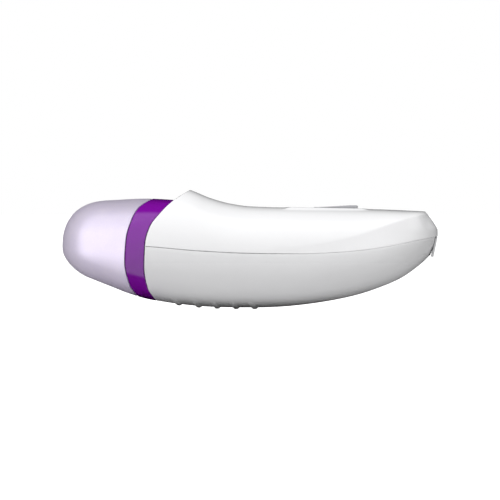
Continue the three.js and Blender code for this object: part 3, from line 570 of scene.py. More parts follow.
def cut_slot(shell):
    """Opens the way through for the knob's stem."""
    bpy.context.view_layer.objects.active = shell
    bpy.ops.object.mode_set(mode="EDIT")
    bpy.ops.mesh.select_all(action="DESELECT")
    bpy.ops.mesh.select_mode(type="FACE")
    bpy.ops.object.mode_set(mode="OBJECT")
    for face in shell.data.polygons:
        x, y, z = face.center / MM
        face.select = abs(x - SLOT["x"]) < SLOT["half_length"] and abs(y) < SLOT["half_width"] and z > 35
    bpy.ops.object.mode_set(mode="EDIT")
    bpy.ops.mesh.delete(type="FACE")
    bpy.ops.object.mode_set(mode="OBJECT")


def rib_rise(x, y, sizes):
    """How far the grip ribs stand out at a place on the back: smooth ridges, bent towards the head."""
    out = np.maximum(np.abs(y) - 2, 0)
    fade = np.clip(1 - (out / GRIP_HALF_LENGTH) ** 4, 0, 1)
    rise = 0
    for middle in RIB_X:
        across = (x - middle + RIB_SWEEP * (out / 13) ** 2) / (sizes.rib_width / MM / 2)
        bump = np.clip(1 - across**2, 0, 1)
        rise = rise + bump**2 * (3 - 2 * bump) * fade
    return rise * sizes.rib_height / MM


def make_rear(sizes):
    rows = np.concatenate([spread(0, 1, 30)])
    stations = merged(
        np.linspace(-45.1, -37, 12), np.arange(-36.5, 5.2, 0.28), np.linspace(6, 80, 62)
    )
    first = edge_places(rear_point, ride_edge(shell_edge, SEAM), rows)
    last = edge_places(rear_point, rear_edge, rows)
    x = warp_stations(stations, first, last, -36.5, 60)
    y, z = rear_point(x, np.broadcast_to(rows, x.shape))
    down = rib_rise(x, y, sizes)
    steep = np.clip(np.abs(y) / half_width(x), 0, 1) ** 3
    body = np.stack([x, y + down * steep, np.maximum(z - down * (1 - steep), 0)], axis=-1)

    wall = front_wall(body[0], [0, 0.35, 0.7, 0.9])
    rim = body[-1]
    well = np.stack([rim[:, 0], np.minimum(rim[:, 1], 7.3), np.maximum(rim[:, 2], 22.7)], axis=-1)
    tail = []
    for share in (0.15, 0.4, 0.7, 1.0):
        between = rim + (well - rim) * share
        between[:, 0] = rear_edge(between[:, 2])
        tail.append(between)
    whole = mirrored(np.concatenate([wall, body, np.stack(tail)])[:, ::-1])
    shell = sheet("rear_housing_shell", whole)
    give_wall(shell, SHELL_WALL)
    round_edges(shell, sizes.edge_round, 3, 50, off_shaft)
    keep_in_width(shell)
    # the rear shell's finish is the shell white darkened with painted shade
    return settle(shell, "handle", ["rear_housing"], finishes.white_back_painted_shade(), 30)


# --------------------------------------------------------------------------------------------------
# Switch, cord inlet, head and drum
# --------------------------------------------------------------------------------------------------

KNOB = {
    "thin": 27.0, "thick": 46.0, "half_width": 4.8, "ridge": 0.12,
    "heights": [43.15, 43.3, 43.45, 44.25, 44.3, 44.05],
}
STEM = {"x": (35.0, 39.0), "half_width": 1.2, "bottom": 40.5}
BEZEL = {"half_width": 10.2, "z": (22.3, 30.95), "thickness": 0.9, "corner": 1.6}
INLET_HOLE = {"half_width": 5.6, "half_height": 2.6, "corner": 1.2}
SOCKET = {"x": (66.0, 76.9), "half_width": 7.0, "z": (23.0, 30.2), "floor": 68.5}
PIN = {"x": (65.2, 75.4), "y": 3.2, "radius": 0.8}
DISC = {"count": 17, "pitch": 1.62, "radius": 8.35, "bore": 3.2, "thickness": 0.35, "notches": 10}
DRUM_X = -64.5
COVER_FRONT = -71.2
COVER_SLOT = {"half_width": 14.2, "half_height": 7.4, "corner": 2.2}


def rounded_rectangle(half_a, half_b, corner, count):
    """Count points round a rectangle with round corners, from the middle of its right side."""
    corners = [(half_a - corner, half_b - corner), (corner - half_a, half_b - corner),
               (corner - half_a, corner - half_b), (half_a - corner, corner - half_b)]
    outline = []
    for quarter, (a, b) in enumerate(corners):
        for t in np.linspace(0, math.pi / 2, 13):
            outline.append((a + corner * math.cos(t + quarter * math.pi / 2),
                            b + corner * math.sin(t + quarter * math.pi / 2)))
    outline = np.array(outline + outline[:1])
    outline = np.concatenate([[[half_a, 0]], outline[:-1], [[half_a, 0]]])
    run = np.concatenate([[0], np.cumsum(np.hypot(*np.diff(outline, axis=0).T))])
    wanted = np.linspace(0, run[-1], count, endpoint=False)
    return np.stack([np.interp(wanted, run, outline[:, 0]), np.interp(wanted, run, outline[:, 1])], axis=-1)


def add_loop(name, outline, x):
    """A circle primitive whose points are moved onto a (y, z) outline at one x."""
    start_piece()
    bpy.ops.mesh.primitive_circle_add(vertices=len(outline), fill_type="NOTHING")
    loop = bpy.context.object
    loop.name = name
    place_points(loop, np.column_stack([np.full(len(outline), x), outline]))
    return loop


def join_pieces(first, *others):
    start_piece()
    for piece in (first, *others):
        piece.select_set(True)
    bpy.context.view_layer.objects.active = first
    bpy.ops.object.join()
    return first


def bridge_all():
    bpy.ops.object.mode_set(mode="EDIT")
    bpy.ops.mesh.select_mode(type="EDGE")
    bpy.ops.mesh.select_all(action="SELECT")
    bpy.ops.mesh.bridge_edge_loops()
    bpy.ops.object.mode_set(mode="OBJECT")


def tidy_normals(piece):
    bpy.context.view_layer.objects.active = piece
    bpy.ops.object.mode_set(mode="EDIT")
    bpy.ops.mesh.select_all(action="SELECT")
    bpy.ops.mesh.remove_doubles(threshold=0.002 * MM)
    bpy.ops.mesh.normals_make_consistent(inside=False)
    bpy.ops.object.mode_set(mode="OBJECT")


def lean(piece):
    """Slants a piece with the inlet face."""
    points = coordinates(piece) / MM
    points[:, 0] += (points[:, 2] - 31.1) * INLET_SLOPE
    place_points(piece, points)


def make_bezel():
    middle = sum(BEZEL["z"]) / 2
    half_height = (BEZEL["z"][1] - BEZEL["z"][0]) / 2
    outline = rounded_rectangle(BEZEL["half_width"], half_height, BEZEL["corner"], 96) + (0, middle)
    hole = rounded_rectangle(
        INLET_HOLE["half_width"], INLET_HOLE["half_height"], INLET_HOLE["corner"], 96
    ) + (0, INLET_Z)
    plate = join_pieces(add_loop("inlet_bezel_plate", outline, 80), add_loop("hole", hole, 80))
    bridge_all()
    bpy.ops.object.mode_set(mode="EDIT")
    bpy.ops.mesh.select_all(action="SELECT")
    bpy.ops.mesh.extrude_region_move(
        TRANSFORM_OT_translate={"value": (-BEZEL["thickness"] * MM, 0, 0)}
    )
    bpy.ops.object.mode_set(mode="OBJECT")
    tidy_normals(plate)
    lean(plate)
    round_edges(plate, 0.3 * MM, 3, 60)
    return settle(plate, "handle", ["inlet_bezel"], finishes.pale_grey())


def make_socket():
    back, front = SOCKET["x"]
    middle = sum(SOCKET["z"]) / 2
    half_height = (SOCKET["z"][1] - SOCKET["z"][0]) / 2
    outline = rounded_rectangle(SOCKET["half_width"], half_height, 0.5, 64) + (0, middle)
    hole = rounded_rectangle(
        INLET_HOLE["half_width"], INLET_HOLE["half_height"], INLET_HOLE["corner"], 64
    ) + (0, INLET_Z)
    block = join_pieces(add_loop("inlet_socket_block", outline, front), add_loop("hole", hole, front))
    bridge_all()
    for outer, depth in ((True, back), (False, SOCKET["floor"])):
        extrude_loop(block, outline if outer else hole, front, depth)
    tidy_normals(block)
    round_edges(block, 0.2 * MM, 2, 60)
    return settle(block, "handle", ["inlet_socket"], finishes.black_plastic())


def extrude_loop(piece, outline, from_x, to_x):
    """Draws one of a piece's loops back along X and closes its end."""
    points = coordinates(piece) / MM
    targets = np.column_stack([np.full(len(outline), from_x), outline])
    near = {int(np.argmin(((points - target) ** 2).sum(axis=1))) for target in targets}
    bpy.context.view_layer.objects.active = piece
    bpy.ops.object.mode_set(mode="EDIT")
    bpy.ops.mesh.select_all(action="DESELECT")
    bpy.ops.mesh.select_mode(type="EDGE")
    bpy.ops.object.mode_set(mode="OBJECT")
    for edge in piece.data.edges:
        edge.select = set(edge.vertices) <= near
    bpy.ops.object.mode_set(mode="EDIT")
    bpy.ops.mesh.extrude_region_move(TRANSFORM_OT_translate={"value": ((to_x - from_x) * MM, 0, 0)})
    bpy.ops.mesh.edge_face_add()
    bpy.ops.object.mode_set(mode="OBJECT")


def make_pin(side, y):
    back, front = PIN["x"]
    start_piece()
    bpy.ops.mesh.primitive_cylinder_add(
        vertices=32, radius=PIN["radius"] * MM, depth=(front - back) * MM,
        location=((back + front) / 2 * MM, y * MM, INLET_Z * MM), rotation=(0, math.pi / 2, 0)
    )
    pin = bpy.context.object
    pin.name = f"inlet_pin_{side}_contact"
    bpy.ops.object.transform_apply(location=True, rotation=True, scale=True)
    round_edges(pin, 0.35 * MM, 4, 60)
    return settle(pin, "handle", [f"inlet_pin_{side}"], finishes.steel())


def make_knob(sizes):
    """A thin wedge that rises towards the cord end, its thick end ridged for the thumb, on a stem."""
    thin, thick = KNOB["thin"], KNOB["thick"]
    start_piece()
    bpy.ops.mesh.primitive_cube_add(size=1)
    knob = bpy.context.object
    knob.name = "switch_knob_wedge"
    points = coordinates(knob)
    points = np.column_stack([
        np.where(points[:, 0] > 0, thick, thin), np.sign(points[:, 1]) * KNOB["half_width"], points[:, 2] * 2
    ])
    place_points(knob, points)
    cuts = np.concatenate([[thin + 0.6, thin + 2, 33, 37], ridge_places(), [thick - 0.6]])
    for place in np.unique(np.round(cuts, 4)):
        bpy.ops.object.mode_set(mode="EDIT")
        bpy.ops.mesh.select_all(action="SELECT")
        bpy.ops.mesh.bisect(plane_co=(place * MM, 0, 0), plane_no=(1, 0, 0))
        bpy.ops.object.mode_set(mode="OBJECT")
    points = coordinates(knob) / MM
    x = points[:, 0]
    places = [thin, thin + 0.6, thin + 2, thick - 2.5, thick - 0.8, thick]
    top = np.interp(x, places, KNOB["heights"])
    ridge = np.zeros(len(x))
    for crest in ridge_places()[1::3]:
        ridge = np.where(np.abs(x - crest) < 0.05, KNOB["ridge"], ridge)
    points[:, 2] = np.where(points[:, 2] > 0, top + ridge, handle_top(x) + 0.02)
    place_points(knob, points)
    tidy_normals(knob)
    round_edges(knob, sizes.knob_edge, 3, 60, lambda m: m[2] > handle_top(m[0]) and abs(m[1]) > 4.7)
    start_piece()
    bpy.ops.mesh.primitive_cube_add(size=1)
    stem = bpy.context.object
    points = coordinates(stem)
    top = handle_top(37.0) + 0.1
    place_points(stem, np.column_stack([
        np.where(points[:, 0] > 0, STEM["x"][1], STEM["x"][0]), np.sign(points[:, 1]) * STEM["half_width"],
        np.where(points[:, 2] > 0, top, STEM["bottom"])
    ]))
    join_pieces(knob, stem)
    return settle(knob, "switch", ["switch_knob"], finishes.satin_grey(), 30)


def ridge_places():
    """x of the foot, crest and foot of each thumb ridge on the knob's thick end."""
    return np.concatenate([[crest - 0.4, crest, crest + 0.4] for crest in (38.6, 40.0, 41.4, 42.8)])


def around_section(x, inset, angles):
    """(y, z) where rays at some angles round the shaft's line meet the head's envelope at one x."""
    low = np.zeros(len(angles))
    high = np.full(len(angles), 40.0)
    x = np.broadcast_to(x, angles.shape)
    depth = x + 80 - inset
    middle = parting_z(x)
    width = (half_width(x) - inset) * rounding(depth, 16, 2.5)
    upper = (head_top(x) - inset - middle) * rounding(depth, 20, 2.4)
    lower = (middle - head_bottom(x) - inset) * rounding(depth, 11.5, 2.2)
    for _ in range(40):
        radius = (low + high) / 2
        y = radius * np.cos(angles)
        z = SHAFT_Z + radius * np.sin(angles)
        half = np.where(z > middle, upper, lower)
        inside = (np.abs(y) / width) ** 2.4 + (np.abs(z - middle) / half) ** 2.4 < 1
        low = np.where(inside, radius, low)
        high = np.where(inside, high, radius)
    return np.stack([x, y, z], axis=-1)


def make_cover():
    """The head's cover: an open mouth round the drum, a soft front edge and a skirt under the cap."""
    count = 160
    mouth = rounded_rectangle(
        COVER_SLOT["half_width"], COVER_SLOT["half_height"], COVER_SLOT["corner"], count
    )
    angles = np.arctan2(mouth[:, 1], mouth[:, 0])
    inner = np.column_stack([np.full(count, COVER_FRONT), mouth + (0, SHAFT_Z)])
    outer = around_section(COVER_FRONT, COVER_INSET, angles)
    rings = [inner + (outer - inner) * share for share in (0, 0.12, 0.35, 0.6, 0.8, 0.93)]
    end = np.full(count, -53.0)
    for _ in range(30):
        end = cap_edge(around_section(end, COVER_INSET, angles)[:, 2]) - 1.1
    for share in spread(0, 1, 22, 0.2):
        rings.append(around_section(COVER_FRONT + (end - COVER_FRONT) * share, COVER_INSET, angles))
    points = np.stack(rings)
    points = np.concatenate([points, points[:, :1]], axis=1)
    cover = sheet("head_cover_shell", points)
    round_edges(cover, 1.1 * MM, 5, 35, lambda m: m[0] < COVER_FRONT + 0.3)
    give_wall(cover, COVER_WALL)
    round_edges(cover, 0.25 * MM, 3, 60)
    return settle(cover, "head", ["head_cover"], finishes.head_white())


def make_disc(name, y, turn):
    """A tweezer disc: a thin steel ring whose rim is cut into gripping lobes."""
    around = DISC["notches"] * 12
    angles = np.arange(around) * 2 * math.pi / around + turn
    phase = (np.arange(around) % 12) / 12
    notch = np.clip(np.cos(phase * 2 * math.pi), 0.2, 1)
    rim = DISC["radius"] - 1.1 * (notch - 0.2) / 0.8
    half = DISC["thickness"] / 2
    start_piece()
    bpy.ops.mesh.primitive_circle_add(vertices=around, fill_type="NOTHING")
    outer = bpy.context.object
    bpy.ops.mesh.primitive_circle_add(vertices=around, fill_type="NOTHING")
    bore = bpy.context.object
    for loop, radius in ((outer, rim), (bore, np.full(around, DISC["bore"]))):
        place_points(loop, np.column_stack([
            DRUM_X + radius * np.sin(angles), np.full(around, y - half), SHAFT_Z + radius * np.cos(angles)
        ]))
    disc = join_pieces(outer, bore)
    disc.name = name
    bridge_all()
    bpy.ops.object.mode_set(mode="EDIT")
    bpy.ops.mesh.select_all(action="SELECT")
    bpy.ops.mesh.extrude_region_move(TRANSFORM_OT_translate={"value": (0, 2 * half * MM, 0)})
    bpy.ops.object.mode_set(mode="OBJECT")
    tidy_normals(disc)
    round_edges(disc, 0.08 * MM, 1, 60)
    return disc


def make_discs():
    material = finishes.polished_steel()
    for i in range(DISC["count"]):
        y = (i - (DISC["count"] - 1) / 2) * DISC["pitch"]
        name = f"tweezer_disc_{i + 1:02d}"
        disc = make_disc(f"{name}_plate", y, i * math.pi / DISC["notches"] / 2)
        settle(disc, "drum", [name], material)


# --------------------------------------------------------------------------------------------------
# Finishes
# --------------------------------------------------------------------------------------------------


class Field:
    """A value that varies over a surface: a node's output, with arithmetic that adds nodes."""

    def __init__(self, tree, socket=None):
        self.tree = tree
        self.socket = socket

    def node(self, kind, settings=None, sockets=None, output=0):
        """Adds a node: its settings first, a ramp's stops among them, then its sockets' values or links."""
        made = self.tree.nodes.new(kind)
        for key, value in (settings or {}).items():
            if key == "stops":
                for spare in list(made.color_ramp.elements)[2:]:
                    made.color_ramp.elements.remove(spare)
                for i, (place, tint) in enumerate(value):
                    stop = made.color_ramp.elements[i] if i < 2 else made.color_ramp.elements.new(place)
                    stop.position = place
                    stop.color = (*tint, 1)
            else:
                setattr(made, key, value)
        for key, value in (sockets or {}).items():
            if isinstance(value, Field):
                self.tree.links.new(value.socket, made.inputs[key])
            else:
                made.inputs[key].default_value = value
        return Field(self.tree, made.outputs[output])

    def math(self, operation, first, second=0.0, clamp=False):
        settings = {"operation": operation, "use_clamp": clamp}
        return self.node("ShaderNodeMath", settings, {0: first, 1: second})

    def __add__(self, other):
        return self.math("ADD", self, other)

    def __sub__(self, other):
        return self.math("SUBTRACT", self, other)

    def __mul__(self, other):
        return self.math("MULTIPLY", self, other)

    def __rsub__(self, other):
        return self.math("SUBTRACT", other, self)

    __radd__ = __add__
    __rmul__ = __mul__

    def sine(self):
        return self.math("SINE", self)

    def clamped(self):
        return self.math("ADD", self, 0.0, clamp=True)

    def above(self, level, width):
        """0 below a level and 1 above it, with a soft step between."""
        return self.math("MULTIPLY", self - (level - width / 2), 1 / width, clamp=True)

    def axis(self, letter):
        return self.node("ShaderNodeSeparateXYZ", None, {0: self}, letter)

    def stretched(self, scale):
        return self.node("ShaderNodeVectorMath", {"operation": "MULTIPLY"}, {0: self, 1: scale})

    def noise(self, size_mm, detail=2.0, roughness=0.5):
        """Cloudy noise, 0 to 1, whose blobs are about this large."""
        sockets = {"Vector": self, "Scale": 1 / (size_mm * MM), "Detail": detail, "Roughness": roughness}
        return self.node("ShaderNodeTexNoise", None, sockets)

    def specks(self, size_mm):
        """A random value for each small cell."""
        sockets = {"Vector": self, "Scale": 1 / (size_mm * MM)}
        cell = self.node("ShaderNodeTexVoronoi", {"feature": "F1"}, sockets, "Color")
        return cell.axis("X")

    def mix(self, first, second):
        """A colour between two, by this value."""
        sockets = {"Factor": self}
        for key, tint in ((6, first), (7, second)):
            sockets[key] = tint if isinstance(tint, Field) else (*tint, 1)
        return self.node("ShaderNodeMix", {"data_type": "RGBA"}, sockets, 2)

    def bump(self, depth_mm, strength=1.0):
        """A normal from this height."""
        sockets = {"Height": self, "Distance": depth_mm * MM, "Strength": strength}
        return self.node("ShaderNodeBump", None, sockets)


def shade(tint, factor):
    return tuple(min(channel * factor, 1.0) for channel in tint)


def painted(name, fixed, varying):
    """A material whose shader has fixed sockets, and sockets that vary with the place on the object."""
    material = bpy.data.materials.new(name)
    material.use_nodes = True
    tree = material.node_tree
    shader = tree.nodes["Principled BSDF"]
    for socket, value in fixed.items():
        shader.inputs[socket].default_value = value
    place = Field(tree).node("ShaderNodeTexCoord", None, None, "Object")
    for socket, value in varying(place).items():
        tree.links.new(value.socket, shader.inputs[socket])
    return material


class Finishes:
    """The object's materials, each made once."""

    def __init__(self):
        self.made = {}

    @property
    def colours(self):
        return bpy.context.scene.epilator_colours

    def once(self, name, fixed, varying):
        if name not in self.made:
            self.made[name] = painted(name, fixed, varying)
        return self.made[name]

    def pearl_cap(self):
        """Satin lilac with a fine pearl pigment under a clear skin."""
        cap, glow = tuple(self.colours.cap), tuple(self.colours.cap_glow)

        def varying(place):
            clouds = place.noise(6.0, 3.0)
            flakes = place.specks(0.12)
            pearl = (clouds * 0.45 + flakes * 0.5).clamped()
            skin = place.noise(0.9, 2.0) * 0.6 + flakes * 0.4
            return {
                "Base Color": pearl.mix(cap, glow),
                "Roughness": 0.38 + flakes * 0.1 + clouds * 0.04,
                "Normal": skin.bump(0.004, 0.35),
            }

        fixed = {"Metallic": 0.3, "Coat Weight": 0.25, "Coat Roughness": 0.22, "IOR": 1.5}
        return self.once("pearl_cap", fixed, varying)

    def purple_gloss(self):
        """Deep purple under a thick clear lacquer."""
        ring = tuple(self.colours.ring)

        def varying(place):
            depth = place.noise(4.0, 3.0)
            return {
                "Base Color": depth.mix(shade(ring, 0.93), shade(ring, 1.07)),
                "Roughness": 0.10 + place.noise(1.5) * 0.05,
                "Normal": place.noise(3.0, 1.0).bump(0.006, 0.25),
            }

        return self.once("purple_gloss", {"Coat Weight": 0.6, "Coat Roughness": 0.04, "IOR": 1.5}, varying)

    def white_gloss(self):
        """Polished white moulding with the faint waviness of a moulded skin."""
        shell = tuple(self.colours.shell)

        def varying(place):
            flow = place.stretched((0.35, 1, 1)).noise(9.0, 3.0)
            fine = place.noise(0.7, 2.0)
            return {
                "Base Color": flow.mix(shade(shell, 0.985), shade(shell, 1.01)),
                "Roughness": 0.13 + flow * 0.05,
                "Normal": (flow * 0.9 + fine * 0.1).bump(0.012, 0.25),
            }

        return self.once("white_gloss", {"Coat Weight": 0.4, "Coat Roughness": 0.05, "IOR": 1.5}, varying)

    def white_back_painted_shade(self):
        """The back's white, set to 0.87 to 0.9 of the shell's white as painted shade for a back turned from
        the light: a fine spark-eroded grain on the grip, polished towards the seam.
        """
        shell = tuple(self.colours.shell)

        def varying(place):
            flow = place.noise(8.0, 3.0)
            grain = place.noise(0.32, 3.0, 0.6)
            height = place.axis("Z")
            grip = 1 - height.above(0.018, 0.008)
            return {
                # painted shade: the whole back is a darker copy of the shell white (0.87 to 0.9 of it),
                # standing in for the shade on the back's lower side
                "Base Color": flow.mix(shade(shell, 0.87), shade(shell, 0.9)),
                "Roughness": 0.2 + grip * 0.16 + grain * 0.06,
                "Normal": (grain * grip * 0.5 + flow * 0.5).bump(0.02, 0.35),
            }

        return self.once("white_back_painted_shade", {"Coat Weight": 0.15, "Coat Roughness": 0.12, "IOR": 1.5}, varying)

    def satin_grey(self):
        grey = tuple(self.colours.grey)

        def varying(place):
            grain = place.noise(0.25, 3.0, 0.6)
            cloud = place.noise(5.0, 2.0)
            return {
                "Base Color": cloud.mix(shade(grey, 0.93), shade(grey, 1.06)),
                "Roughness": 0.34 + grain * 0.12,
                "Normal": grain.bump(0.012, 0.4),
            }

        return self.once("satin_grey", {"IOR": 1.48}, varying)

    def head_white(self):
        shell = tuple(self.colours.shell)

        def varying(place):
            flow = place.noise(7.0, 3.0)
            return {
                "Base Color": flow.mix(shade(shell, 0.95), shade(shell, 1.0)),
                "Roughness": 0.2 + flow * 0.08,
                "Normal": place.noise(0.6, 2.0).bump(0.006, 0.3),
            }

        return self.once("head_white", {"Coat Weight": 0.25, "Coat Roughness": 0.08}, varying)

    def moulded(self, name, tint, rough, size_mm=0.5):
        """A plain moulded plastic: faint flow marks, a matt grain and dirt-free edges."""

        def varying(place):
            flow = place.stretched((1, 0.5, 1)).noise(4.0, 3.0)
            grain = place.noise(size_mm, 3.0, 0.6)
            return {
                "Base Color": flow.mix(shade(tint, 0.9), shade(tint, 1.06)),
                "Roughness": rough + grain * 0.14,
                "Normal": (grain * 0.6 + flow * 0.4).bump(0.02, 0.4),
            }

        return self.once(name, {"IOR": 1.48}, varying)

    def inner_plastic(self):
        return self.moulded("inner_plastic", tuple(self.colours.frame), 0.42)

    def pale_grey(self):
        return self.moulded("pale_grey", (0.72, 0.72, 0.73), 0.34)

    def acetal(self):
        return self.moulded("acetal", tuple(self.colours.acetal), 0.3, 0.3)

    def black_plastic(self):
        return self.moulded("black_plastic", (0.018, 0.018, 0.02), 0.4)

    def red_wire(self):
        return self.moulded("red_wire", (0.42, 0.02, 0.018), 0.38, 0.2)

    def black_wire(self):
        return self.moulded("black_wire", (0.015, 0.015, 0.017), 0.38, 0.2)

    def film_case(self):
        return self.moulded("film_case", (0.45, 0.16, 0.03), 0.3, 0.4)

    def metal(self, name, tint, rough, lines_mm, lines_along):
        """A machined metal: fine tool lines, and a few deeper ones."""

        def varying(place):
            lines = place.stretched(lines_along).noise(lines_mm, 4.0, 0.6)
            stain = place.noise(3.0, 2.0)
            return {
                "Base Color": stain.mix(shade(tint, 0.88), shade(tint, 1.05)),
                "Roughness": rough + lines * 0.16,
                "Normal": lines.bump(0.006, 0.5),
            }

        return self.once(name, {"Metallic": 1.0}, varying)

    def steel(self):
        return self.metal("steel", (0.58, 0.58, 0.6), 0.2, 0.3, (1, 0.12, 1))

    def polished_steel(self):
        return self.metal("polished_steel", (0.66, 0.66, 0.68), 0.12, 0.25, (1, 0.3, 0.2))

    def zinc_plate(self):
        return self.metal("zinc_plate", (0.42, 0.44, 0.46), 0.3, 0.8, (0.3, 1, 1))

    def copper(self):
        """Enamelled wire wound round the armature."""

        def varying(place):
            turns = (place.axis("X") * (2 * math.pi / (0.5 * MM))).sine() * 0.5 + 0.5
            stain = place.noise(2.0, 2.0)
            return {
                "Base Color": stain.mix((0.62, 0.2, 0.07), (0.8, 0.34, 0.13)),
                "Roughness": 0.24 + (1 - turns) * 0.2,
                "Normal": turns.bump(0.12, 0.8),
            }

        return self.once("copper", {"Metallic": 0.9}, varying)

    def board_green(self):
        """Solder resist over copper tracks."""

        def varying(place):
            sockets = {"Vector": place, "Scale": 1 / (7 * MM)}
            tracks = place.node("ShaderNodeTexVoronoi", {"distance": "MANHATTAN"}, sockets)
            line = 1 - tracks.math("ABSOLUTE", tracks - 0.45).above(0.035, 0.02)
            mask = place.noise(3.0)
            return {
                "Base Color": line.mix(
                    mask.mix((0.008, 0.075, 0.02), (0.012, 0.1, 0.028)), (0.03, 0.2, 0.05)
                ),
                "Roughness": 0.24 + mask * 0.12,
                "Normal": line.bump(0.05, 0.6),
            }

        return self.once("board_green", {"IOR": 1.5, "Coat Weight": 0.3}, varying)


finishes = Finishes()

NODE_FINISHES = {
    "white_gloss": "white_gloss", "head_white": "head_white", "cap_lilac": "pearl_cap",
    "trim_purple": "purple_gloss", "switch_grey": "satin_grey", "inner_plastic": "inner_plastic",
    "acetal": "acetal", "steel": "steel", "zinc_plate": "zinc_plate", "copper": "copper",
    "film_case": "film_case", "board_green": "board_green", "black_plastic": "black_plastic",
    "red_wire": "red_wire", "black_wire": "black_wire",
}


def paint_inner_parts():
    """Gives every CAD node that stays its slot's finish."""
    for part in frame["record"]["subparts"]:
        node = frame["nodes"][part["node"]]
        material = getattr(finishes, NODE_FINISHES[part["material_slot"]])()
        node.data.materials.clear()
        node.data.materials.append(material)


# --------------------------------------------------------------------------------------------------
# Studio
# --------------------------------------------------------------------------------------------------


STUDIO = {"front": 0.28, "back": 0.32, "card": 0.95, "floor_glow": 1.0}
HEAD_AIM = (-0.06, 0, 0.03)
KEY = {"place": (-0.2, -0.28, 0.65), "aim": (0, 0, 0.03), "energy": 3.8, "size": (0.35, 0.3)}
CAP_LIGHT = {"place": (-0.5, -0.75, 0.1), "aim": HEAD_AIM, "energy": 6.2, "size": (1.6, 1.4)}
CAP_TOP_LIGHT = {"place": (-0.25, -0.12, 0.7), "aim": HEAD_AIM, "energy": 1.6, "size": (0.5, 0.5)}
FLOOR_SIZE = 12
CAMERA = {"aim": (0, 0, 0.02517), "distance": 7.111, "pitch": 0.5, "lens": 1200, "sensor": 36}


FLOOR_WHITE = {"Base Color": (0.7, 0.7, 0.7, 1), "Specular IOR Level": 0.0}


def add_light(name, place, aim, energy, size):
    start_piece()
    bpy.ops.object.light_add(type="AREA", location=place)
    light = bpy.context.object
    light.name = name
    light.rotation_euler = (Vector(aim) - Vector(place)).to_track_quat("-Z", "Y").to_euler()
    light.data.energy = energy
    light.data.shape = "RECTANGLE"
    light.data.size, light.data.size_y = size
    return light


def link_light(light, piece, state):
    """Lets a light shine on one piece only (INCLUDE), or on all but that piece (EXCLUDE)."""
    group = bpy.data.collections.new(light.name + "_group")
    group.objects.link(piece)
    group.collection_objects[0].light_linking.link_state = state
    light.light_linking.receiver_collection = group


def light_world():
    """White behind the object, an uneven surround for its light, and a card for its reflections."""
    world = bpy.context.scene.world or bpy.data.worlds.new("studio")
    bpy.context.scene.world = world
    world.use_nodes = True
    tree = world.node_tree
    background = tree.nodes["Background"]
    towards = Field(tree).node("ShaderNodeTexCoord", None, None, "Generated")
    front = towards.axis("Y") * -0.978 + towards.axis("Z") * 0.208
    level = front.above(0.05, 0.5) * STUDIO["front"] + STUDIO["back"]
    card = front.above(0.14, 0.22) * towards.axis("Z").above(-0.93, 0.05) * STUDIO["card"]
    camera = towards.node("ShaderNodeLightPath", None, None, "Is Camera Ray")
    mirror = towards.node("ShaderNodeLightPath", None, None, "Is Glossy Ray")
    seen = camera + (1 - camera) * ((1 - mirror) * level + mirror * card)
    tree.links.new(seen.socket, background.inputs["Strength"])
    background.inputs["Color"].default_value = (1, 1, 1, 1)


def make_stage():
    scene = bpy.context.scene
    scene.view_settings.view_transform = "Standard"
    scene.view_settings.look = "None"
    light_world()

    cap = bpy.data.objects["protective_cap_shell"]
    key = add_light("key", **KEY)
    key.visible_glossy = False
    link_light(key, cap, "EXCLUDE")
    cap_light = add_light("cap_light", **CAP_LIGHT)
    cap_top = add_light("cap_top_light", **CAP_TOP_LIGHT)
    cap_top.visible_glossy = False
    for light in (cap_light, cap_top):
        link_light(light, cap, "INCLUDE")

    start_piece()
    bpy.ops.mesh.primitive_grid_add(x_subdivisions=4, y_subdivisions=4, size=FLOOR_SIZE, location=(0, 0, 0))
    floor = bpy.context.object
    floor.name = "floor"
    floor.visible_glossy = False

    def varying(place):
        camera = place.node("ShaderNodeLightPath", None, None, "Is Camera Ray")
        glow = camera * STUDIO["floor_glow"]
        return {"Emission Color": glow.mix((0, 0, 0), (1, 1, 1)), "Roughness": 0.7 + place.noise(400.0) * 0.1}

    floor.data.materials.append(painted("floor_white", {**FLOOR_WHITE, "Emission Strength": 1.0}, varying))

    start_piece()
    pitch = math.radians(CAMERA["pitch"])
    place = Vector(CAMERA["aim"]) + CAMERA["distance"] * Vector((0, -math.cos(pitch), math.sin(pitch)))
    bpy.ops.object.camera_add(location=place, rotation=(math.pi / 2 - pitch, 0, 0))
    camera = bpy.context.object
    camera.data.lens = CAMERA["lens"]
    camera.data.sensor_width = CAMERA["sensor"]
    camera.data.clip_start = 0.01
    scene.camera = camera


# --------------------------------------------------------------------------------------------------
# Operators and panel
# --------------------------------------------------------------------------------------------------


class EPILATOR_OT_add_cap(bpy.types.Operator):
    """Models the protective cap."""

    bl_idname = "epilator.add_cap"
    bl_label = "Add cap"

    def execute(self, context):
        sizes = context.scene.epilator_sizes
        make_cap(sizes)
        return {"FINISHED"}


class EPILATOR_OT_add_ring(bpy.types.Operator):
    """Models the glossy band between cap and handle."""

    bl_idname = "epilator.add_ring"
    bl_label = "Add trim ring"

    def execute(self, context):
        sizes = context.scene.epilator_sizes
        make_ring(sizes)
        return {"FINISHED"}


class EPILATOR_OT_add_front(bpy.types.Operator):
    """Models the front shell with its peak, crease, switch recess and slot."""

    bl_idname = "epilator.add_front"
    bl_label = "Add front shell"

    def execute(self, context):
        sizes = context.scene.epilator_sizes
        make_front(sizes)
        return {"FINISHED"}


class EPILATOR_OT_add_rear(bpy.types.Operator):
    """Models the rear shell with its grip ribs."""

    bl_idname = "epilator.add_rear"
    bl_label = "Add rear shell"

    def execute(self, context):
        sizes = context.scene.epilator_sizes
        make_rear(sizes)
        return {"FINISHED"}


class EPILATOR_OT_add_knob(bpy.types.Operator):
    """Models the slide switch's knob."""

    bl_idname = "epilator.add_knob"
    bl_label = "Add switch knob"

    def execute(self, context):
        sizes = context.scene.epilator_sizes
        make_knob(sizes)
        return {"FINISHED"}


